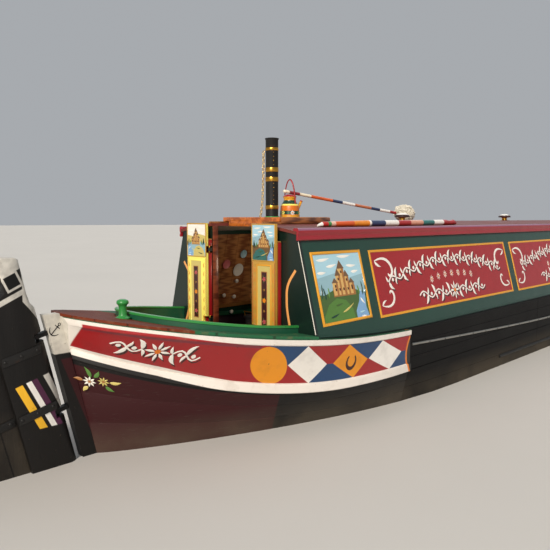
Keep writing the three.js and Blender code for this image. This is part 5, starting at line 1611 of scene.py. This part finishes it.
def red_panel(on, a, b, c, d, waves):
    framed(on, (a, b, c, d), 0.024, 0.007, "yellow", "red", 1)
    inner, size = 0.05, (d - b) * 0.29
    for u, hand, angle in ((a + inner, -1, 0.3), (c - inner, 1, pi - 0.3)):
        scroll(on, u, d - 0.09, angle, min(0.32, (c - a) * 0.22), "white", hand, 2)
        scroll(on, u, b + 0.09, -angle, min(0.26, (c - a) * 0.2), "white", -hand, 2)
    middle, half, above = (a + c) / 2, (c - a) / 2, raised(on, 0.0012)
    if waves:
        arch = [(middle + t * half * 0.84, d - 0.12 - 0.17 * t * t) for t in spread(-1, 1, 12)]
        vine(above, arch, size, waves)
        garland(above, middle, b + 0.125, half * 0.5, size * 1.05, 2)
        for k in range(-3, 4):
            daisy(on, middle + k * 0.1 * half, (b + d) / 2 + 0.012 - 0.004 * k * k, 0.038, "cream",
                "orange", 2)
    else:
        rose(raised(on, 0.0008), middle, (b + d) / 2, min(0.09, half * 0.4))
        for s in (-1, 1):
            rose(raised(on, 0.0008), middle, (b + d) / 2 + s * 0.17, 0.06, "orange", "lemon")

def raised(on, by):
    made, lay = on
    return made, lambda u, v, h: lay(u, v, h + by)

CASTLE = (-8.321, 1.373, -7.673, 1.946)
PANELS = [(-7.522, 1.352, -4.716, 1.934, 9), (-4.541, 1.347, -1.36, 1.928, 10),
    (0.02, 1.345, 1.5, 1.93, 0), (2.86, 1.36, 3.4, 1.93, 0), (4.7, 1.36, 5.25, 1.93, 0)]
for word, side in SIDES.items():
    made = Build()
    on = made, on_side(side)
    castle(on, *CASTLE)
    beading(on, oblong(*CASTLE), 0.026, 0.009, "yellow")
    for panel in PANELS:
        red_panel(on, *panel)
    made.piece(f"side_panels_{word}", "cabin_green")

# %% Windows
WINDOW_XS, WINDOW_Z = (-0.7, 2.2, 4.05, 5.9, 7.3), 1.69

def window_ring(x, grow, r):
    return rounded(x - 0.4 - grow, WINDOW_Z - 0.205 - grow, x + 0.4 + grow, WINDOW_Z + 0.205 + grow, r)

for word, side in SIDES.items():
    lay, frames, panes, screws = on_side(side), Build(), Build(), []
    for x in WINDOW_XS:
        ring = window_ring(x, 0.018, 0.078)
        beading((frames, lay), ring, 0.034, 0.009, "brass")
        beading((frames, lay), window_ring(x, 0, 0.062), 0.014, 0.004, "black", -0.03)
        patch(raised((panes, lay), -0.02), window_ring(x, 0.004, 0.066), "glass")
        patch(raised((frames, lay), -0.016), oblong(x - 0.4, WINDOW_Z + 0.085, x + 0.4, WINDOW_Z + 0.1),
            "brass", 3)
        screws.append([(lay(u, v, 0.009), (0, side / SLANT, LEAN / SLANT)) for u, v in ring + ring[:1]])
    frames.piece(f"window_frames_{word}", "cabin_green")
    panes.piece(f"window_panes_{word}", "cabin_green", sharp=32)
    bolt_rows(f"window_screws_{word}", screws, 0.16, 0.004, "brass", 0.35)

# %% [markdown]
# A bead runs along the foot of the cabin side and a cream line up its aft corner. The top bend gets
# a white vine and a horseshoe, the quarter below it two flowers, the post an anchor, and the can on
# the roof a ring of daisies.

# %% Lines and bend ornament
def anchor(on, size):
    stroke(on, [(0, -size * 0.5), (0, size * 0.34)], size * 0.04, "black", 1)
    stroke(on, [(-size * 0.22, size * 0.2), (size * 0.22, size * 0.2)], size * 0.035, "black", 1)
    arc = [(size * 0.42 * sin(t), -size * (0.5 * cos(t) - 0.02)) for t in spread(-1.25, 1.25, 8)]
    stroke(on, arc, [size * 0.04 * w for w in (0.4, 0.7, 0.9, 1, 1.1, 1, 0.9, 0.7, 0.4)], "black", 1)
    ring = blob(0, size * 0.42, size * 0.09, 10)
    stroke(on, ring + ring[:1], size * 0.025, "black", 1)

def turned_lay(lay, u0, v0, angle):
    """The same surface with its measures turned round a point."""
    c, s = cos(angle), sin(angle)
    return lambda u, v, h: lay(u0 + u * c - v * s, v0 + u * s + v * c, h)

PANEL_HIGH = 0.24
for tag, end in ENDS.items():
    for word, side in SIDES.items():
        made = Build()
        on = made, lambda u, v, h, lay=on_bend(end, side): lay(u, v / PANEL_HIGH, h)
        garland(on, -1.17, 0.56 * PANEL_HIGH, 0.27, 0.15, 1)
        shoe = [(LOZENGES[1][0] + 0.052 * sin(t), 0.5 * PANEL_HIGH - 0.05 * cos(t))
            for t in spread(-2.4, 2.4, 12)]
        stroke(on, shoe, [0.007 + 0.009 * sin(pi * k / 12) for k in range(13)], "shadow", 1)
        anchor((made, turned_lay(on_post(end, side), 0.08 if end is STERN else 0.068, 1.468, -0.75)), 0.1)
        on = made, on_quarter(end, side)
        daisy(on, -1.494, -0.128, 0.038, "cream", "tan", 1)
        daisy(on, -1.415, -0.105, 0.034, "straw", "tan", 1)
        for run, up, angle, long, paint in ((-1.49, -0.098, 2, 0.08, "leaf"),
                (-1.47, -0.09, 1.1, 0.06, "leaf"), (-1.53, -0.13, 3.1, 0.05, "tan"),
                (-1.38, -0.1, 0.2, 0.07, "straw"), (-1.4, -0.135, -0.5, 0.06, "leaf"),
                (-1.5, -0.168, -2.2, 0.05, "straw")):
            leaf(on, run, up, angle, long, 0.012, paint, 0, 0.7)
        made.piece(f"{tag}_ornament_{word}", "bend_paint")

lines = Build()
for side in (1, -1):
    on = lines, on_side(side)
    corner = BULKHEAD_X + 0.008
    stroke(on, [(corner, gunwale_z(corner) + 0.03), (corner, 2.05)], 0.005, "cream", 1)
    foot = [(x, gunwale_z(x) + 0.013) for x in spread(BULKHEAD_X + 0.045, FRONT_X - 0.045, 60)]
    stroke(on, foot, 0.01, "green", 11)
lines.piece("side_lines", "cabin_green")

# %% [markdown]
# ## Guard irons
# Half-round irons run along each plain side to take the rub of lock walls. The upper one falls from
# the bend's end in a long curve, and its worn face is the pale line seen on the black side.

# %% Guard irons and strake
def guard_z(x):
    return 0.915 + 0.135 * max(0, (-3.7 - x) / 3.4) ** 1.3 + 0.13 * max(0, (x - 4.3) / 3.4) ** 1.3

for word, side in SIDES.items():
    guard, heads = Build(), []
    for height, half, deep, x0, x1, paint in ((guard_z, 0.012, 0.011, -7.12, 7.74, "steel"),
            (lambda x: 0.619, 0.019, 0.016, -5.2, 5.6, "iron")):
        rings, row = [], []
        for x in spread(x0, x1, 48):
            z = height(x)
            y = lambda dz: plain_y(x, z + dz)
            rings.append([(x, side * (y(dz) + h), z + dz) for dz, h in (
                (-half, -0.002), (-half * 0.8, deep * 0.55), (-half * 0.3, deep),
                (half * 0.3, deep), (half * 0.8, deep * 0.55), (half, -0.002))])
            row.append(((x, side * (y(0) + deep), z), (0, side, 0)))
        guard.loft(rings, paint)
        heads.append(row[1:-1])
    guard.piece(f"guard_irons_{word}", "black_iron", [f"rubbing_strake_{word}"], sharp=60)
    bolt_rows(f"guard_bolts_{word}", heads, 0.3, 0.0075, "iron", 0.4)

# %% Flowers on the can
flowers = Build()
on = flowers, on_can
for k in range(6):
    daisy(on, k * 0.107 * pi / 3, 0.111, 0.028, *(("white", "orange"), ("lemon", "crimson"))[k % 2])
    leaf(on, (k + 0.5) * 0.107 * pi / 3, 0.097, 1.2, 0.03, 0.006, "bright", 0, 0.6)
flowers.piece("can_flowers", "can_paint")

# %% [markdown]
# ## Rear doors
# The doors stand open, folded back on the bulkhead, so what faces aft is the best painting: a
# castle over roses on a dark slot panel, in an ochre frame. Each leaf is two boards thick. The red
# back board stops lower and has an orange cap. Two notches leave room for the hinge knuckles.

# %% Boards of the rear doors
REAR = {"in": 0.302, "out": 0.586, "low": 1.148, "high": 2.192, "back_high": 2.04, "aft": -8.527,
    "mid": -8.502, "fore": -8.457}
HINGE_Z, HINGE_X, HINGE_Y = (1.3, 1.95), -8.492, 0.3

def notched(edge, free, low, high, heights, deep):
    """A board's outline, with a notch in its hinged edge at each height."""
    out = [(free, high), (free, low), (edge, low)]
    for z in heights:
        out += [(edge, z - 0.03), (edge + deep, z - 0.03), (edge + deep, z + 0.03), (edge, z + 0.03)]
    return out + [(edge, high)]

def facing(x, way, side=1):
    return lambda u, v, h: (x + way * h, side * u, v)

def pins(made, x, y, heights):
    for z in heights:
        made.rod([(x, y, z - 0.034), (x, y, z + 0.034)], 0.006, "brass", 16)

for word, side in SIDES.items():
    body, lay = f"rear_door_{word}", facing(0, 1, side)
    boards = Build()
    # The port leaf stands in the sun. Its lemon board, lemon frame and pale castle are painted sunlight,
    # paler copies of the starboard leaf's ochre, yellow and blue-sky castle.
    for high, x0, x1, paint in ((REAR["high"], REAR["aft"], REAR["mid"], "lemon" if side > 0 else "ochre"),
            (REAR["back_high"], REAR["mid"] + 0.0001, REAR["fore"], "red")):
        boards.slab(notched(REAR["in"], REAR["out"], REAR["low"], high, HINGE_Z, 0.048), x0, x1, paint, lay)
    boards.box((REAR["mid"] + 0.001, side * 0.444 - 0.14, REAR["back_high"]),
        (REAR["fore"] - 0.001, side * 0.444 + 0.14, REAR["back_high"] + 0.008), "peach")
    pins(boards, HINGE_X, side * HINGE_Y, HINGE_Z)
    boards.piece(f"rear_door_boards_{word}", "door_paint", [body], ease=0.0025, body=body)

    art = Build()
    on = art, facing(REAR["aft"], -1, side)
    # painted sunlight: the port leaf's castle has a washed-out palette
    castle(on, 0.312, 1.886, 0.576, 2.182,
        *(("cream", "straw", "haze", "straw") if side > 0 else ("skyblue", "haze", "umber", "teal")))
    beading(on, oblong(0.309, 1.883, 0.579, 2.185), 0.01, 0.0045, "ochre")
    framed(on, (0.37, 1.2, 0.532, 1.845), 0.012, 0.005, "lemon" if side > 0 else "yellow", "straw", 0)
    framed(on, (0.424, 1.31, 0.4866, 1.79), 0.008, 0.004, "tan", "shadow", 1)
    for k, v in enumerate((1.37, 1.55, 1.73)):
        rose(raised(on, 0.0007), 0.4553, v, 0.019,
            *(("crimson", "pink"), ("orange", "yellow"), ("crimson", "pink"))[k], turn=k * 0.7)
    for v in (1.46, 1.64):
        daisy(raised(on, 0.0007), 0.4553, v, 0.013, "ochre", "crimson")
    daisy(on, 0.4553, 1.245, 0.03, "crimson", "lemon")
    for u, bend in ((0.34, 0.9), (0.56, -0.9)):
        for v in spread(1.22, 1.78, 7):
            leaf(on, u, v, pi / 2, 0.05, 0.006, "orange", 0, bend, 4)
    for u, low, high in ((0.314, 1.35, 1.87), (0.577, 1.165, 1.87)):
        stroke(on, [(u, low), (u, high)], 0.003, "red")
    art.piece(f"rear_door_painting_{word}", "door_paint", body=body)
    outside = Build()
    on = outside, facing(REAR["fore"], 1, side)
    patch(on, [(0.46, 1.72), (0.39, 1.55), (0.46, 1.38), (0.53, 1.55)], "white")
    patch(on, [(0.46, 1.66), (0.415, 1.55), (0.46, 1.44), (0.505, 1.55)], "blue", 1)
    outside.piece(f"rear_door_outside_{word}", "door_paint", sharp=32, body=body)
print("a rear leaf is", round(REAR["out"] - REAR["in"], 3), "m wide and",
    round(REAR["high"] - REAR["low"], 3), "m high")

# %% [markdown]
# ## The aft bulkhead
# The wall keeps its solid. On it stand a curved orange line on each side of the doors and a board
# round the doorway.

# %% Lines on the aft bulkhead
# The aft bulkhead is a darker green than the cabin sides: painted shade, as if the wall stood out of the
# sun.
dress("aft_bulkhead", "bottle")
dress("front_bulkhead", "green")
BOW_LINE = [(0.738, 1.816), (0.669, 1.721), (0.642, 1.646), (0.64, 1.57), (0.643, 1.499), (0.662, 1.4),
    (0.685, 1.32), (0.715, 1.245)]
trim = Build()
for side in (1, -1):
    points = smooth_line([(side * y, z, 0) for y, z in BOW_LINE], 5)
    stroke((trim, facing(BULKHEAD_X, -1)), [(p.x, p.y) for p in points], 0.014, "peach")
trim.piece("aft_bulkhead_lines", "cabin_green")
lining = Build()
for side in (1, -1):
    y0, y1 = sorted((side * 0.2998, side * 0.293))
    lining.box((BULKHEAD_X - 0.002, y0, 1.141), (BULKHEAD_X + 0.06, y1, 2.165), "mahogany")
lining.box((BULKHEAD_X - 0.006, -0.2997, 1.13), (BULKHEAD_X + 0.05, 0.2997, 1.1425), "wood")
lining.piece("doorway_lining", "grained_wood", ease=0.002)

# %% [markdown]
# ## Inside the back cabin
# Through the doorway the light falls on grained boards, a black range with a brass rail, plates and
# knobs on the wall, drawers and the steps' brass edges. What can be seen is made.

# %% Cabin lining and range
for node in ("step_box", "range_shelf", "side_bench", "bed_cupboard", "inner_bulkhead"):
    dress(node, "wood")
dress("cooking_range", "iron")
boards = Build()
for side in (1, -1):
    def inside(x, z, h, side=side):
        return (x, side * (side_half(z) - 0.0405 - h / SLANT), z - h * LEAN / SLANT)
    for x in spread(BULKHEAD_X + 0.05, -5.48, 18)[:-1]:
        boards.slab([(x + 0.002, 1.32), (x + 0.161, 1.32), (x + 0.161, 2.07), (x + 0.002, 2.07)],
            0, 0.008, "lining", inside)
    boards.slab([(BULKHEAD_X + 0.05, 1.28), (-5.48, 1.28), (-5.48, 1.318), (BULKHEAD_X + 0.05, 1.318)],
        0, 0.016, "tan", inside)
boards.piece("cabin_lining", "grained_wood", ease=0.0015, steps=1)

stove = Build()
RX, RY = CHIMNEY_X, CHIMNEY_Y
for z0, z1 in ((0.7, 0.98), (1, 1.15)):
    stove.box((RX - 0.238, RY - 0.14, z0), (RX - 0.2305, RY + 0.14, z1), "iron")
    stove.rod([(RX - 0.246, RY - 0.1, (z0 + z1) / 2 + dz) for dz in (-0.04, 0.04)], 0.005, "brass", 12)
for x0, x1 in ((-0.2, -0.02), (0.02, 0.2)):
    stove.box((RX + x0, RY - 0.178, 0.72), (RX + x1, RY - 0.1705, 1.12), "iron")
    stove.rod([(RX + (x0 + x1) / 2 + 0.06, RY - 0.186, z) for z in (0.88, 0.98)], 0.005, "brass", 12)
rail = [(RX - 0.252, RY + 0.17, 1.25), (RX - 0.252, RY - 0.17, 1.25), (RX - 0.235, RY - 0.192, 1.25),
    (RX + 0.235, RY - 0.192, 1.25)]
stove.rod(rail, 0.006, "brass", 12)
for x, y in ((RX - 0.252, RY + 0.16), (RX - 0.252, RY - 0.16), (RX + 0.2, RY - 0.192),
        (RX - 0.05, RY - 0.192)):
    stove.rod([(x + 0.006, y, 1.205), (x, y, 1.25)], 0.005, "brass", 10)
for x, y, r in ((RX - 0.12, RY + 0.06, 0.075), (RX - 0.1, RY - 0.1, 0.06)):
    stove.turned([(0, 0), (r * 0.85, 0), (r, 0.02), (r * 0.98, 0.1), (r * 0.7, 0.13), (r * 0.1, 0.14),
        (r * 0.12, 0.16), (0, 0.165)], (x, y, 1.2125), "steel" if r > 0.07 else "brass", 28)
for z in (1.4, 1.75, 2):
    stove.turned([(0.0615, z), (0.0645, z + 0.003), (0.0645, z + 0.027), (0.0615, z + 0.03)], (RX, RY, 0),
        "brass", 32)
stove.piece("range_fittings", "black_iron")

# %% Knobs, plates and drawers
ware = Build()
for x, z in ((-7.7, 1.566), (-7.7, 1.393), (-7.7, 1.224), (-8, 1.42), (-7.85, 1.42)):
    ware.turned([(0, 0), (0.008, 0), (0.009, 0.012), (0.02, 0.02), (0.023, 0.03), (0.015, 0.04),
        (0, 0.043)], (x, side_half(z) - 0.052, z), "white", 20, (0, -1, -0.1))
for k, (x, z, r) in enumerate(((-7.7, 1.69, 0.07), (-7.88, 1.76, 0.05), (-7.66, 1.86, 0.045))):
    at = (x, side_half(z) - 0.052, z)
    ware.turned([(0, 0.004), (r * 0.55, 0.004), (r * 0.62, 0.008), (r, 0.018), (r, 0.021),
        (r * 0.6, 0.012), (0, 0.008)], at, ("white", "pink", "skyblue")[k], 28, (0, -1, -0.26))
ware.piece("plates_and_knobs", "grained_wood")
fronts = Build()
for z in (0.35, 0.75, 1.15, 1.55):
    fronts.box((-6.531, 0.32, z), (-6.5205, 0.66, z + 0.34), "wood")
    fronts.turned([(0, 0), (0.008, 0), (0.009, 0.012), (0.016, 0.02), (0.012, 0.032), (0, 0.034)],
        (-6.531, 0.49, z + 0.17), "brass", 20, (-1, 0, 0))
for x, z, half in ((BULKHEAD_X + 0.43, 0.69, 0.262), (BULKHEAD_X + 0.23, 0.94, 0.252)):
    fronts.box((x - 0.02, -half, z - 0.012), (x + 0.003, half, z + 0.004), "brass")
fronts.piece("drawers_and_nosings", "grained_wood", ease=0.002)

# %% [markdown]
# ## The fore end
# The front doors are shut. They are red, with raised painted panels, brass hinge pins, and low knobs
# that clear the bulkhead when the doors are folded back. Red panels stand on each side of them.

# %% Front doors
FRONT = {"in": 0.006, "out": 0.322, "low": 0.706, "high": 1.966, "aft": 8.187, "fore": 8.222}
FRONT_HINGE_Z = (0.9, 1.75)
for word, side in SIDES.items():
    body, leafs, art = f"front_door_{word}", Build(), Build()
    outline = notched(FRONT["out"], FRONT["in"], FRONT["low"], FRONT["high"], FRONT_HINGE_Z, -0.048)
    leafs.slab(outline, FRONT["aft"], FRONT["fore"], "red", facing(0, 1, side))
    pins(leafs, FRONT_X + 0.0245, side * 0.324, FRONT_HINGE_Z)
    leafs.piece(f"front_door_board_{word}", "door_paint", [body], ease=0.0025, body=body)
    on = art, facing(FRONT["fore"], 1, side)
    for b, d in ((0.78, 1.22), (1.3, 1.7)):
        framed(on, (0.06, b, 0.262, d), 0.016, 0.006, "yellow", "green", 2)
        for v, *paints in zip(spread(b + 0.1, d - 0.1, 2),
                ("crimson", "orange", "crimson"), ("pink", "lemon", "white")):
            rose(raised(on, 0.0016), 0.161, v, 0.04, *paints)
    castle(on, 0.06, 1.76, 0.262, 1.92)
    beading(on, oblong(0.06, 1.76, 0.262, 1.92), 0.014, 0.006, "yellow")
    art.turned([(0, 0), (0.02, 0), (0.02, 0.003), (0.009, 0.005), (0.009, 0.01), (0.016, 0.015),
        (0.013, 0.022), (0, 0.024)], (FRONT["fore"], side * 0.03, 1.26), "brass", 24, (1, 0, 0))
    art.piece(f"front_door_painting_{word}", "door_paint", body=body)

# %% Front bulkhead panels
fore_trim = Build()
on = fore_trim, facing(FRONT_X, 1)
for side in (1, -1):
    outline = [(side * 0.42, 1.3), (side * (side_half(1.3) - 0.07), 1.3),
        (side * (side_half(1.95) - 0.05), 1.95), (side * 0.42, 1.95)]
    patch(on, outline, "red")
    beading(on, outline if side > 0 else outline[::-1], 0.02, 0.006, "yellow")
    rose(raised(on, 0.001), side * 0.6, 1.62, 0.075)
    daisy(raised(on, 0.001), side * 0.6, 1.42, 0.05)
    daisy(raised(on, 0.001), side * 0.58, 1.83, 0.05)
fore_trim.piece("front_bulkhead_panels", "cabin_green")
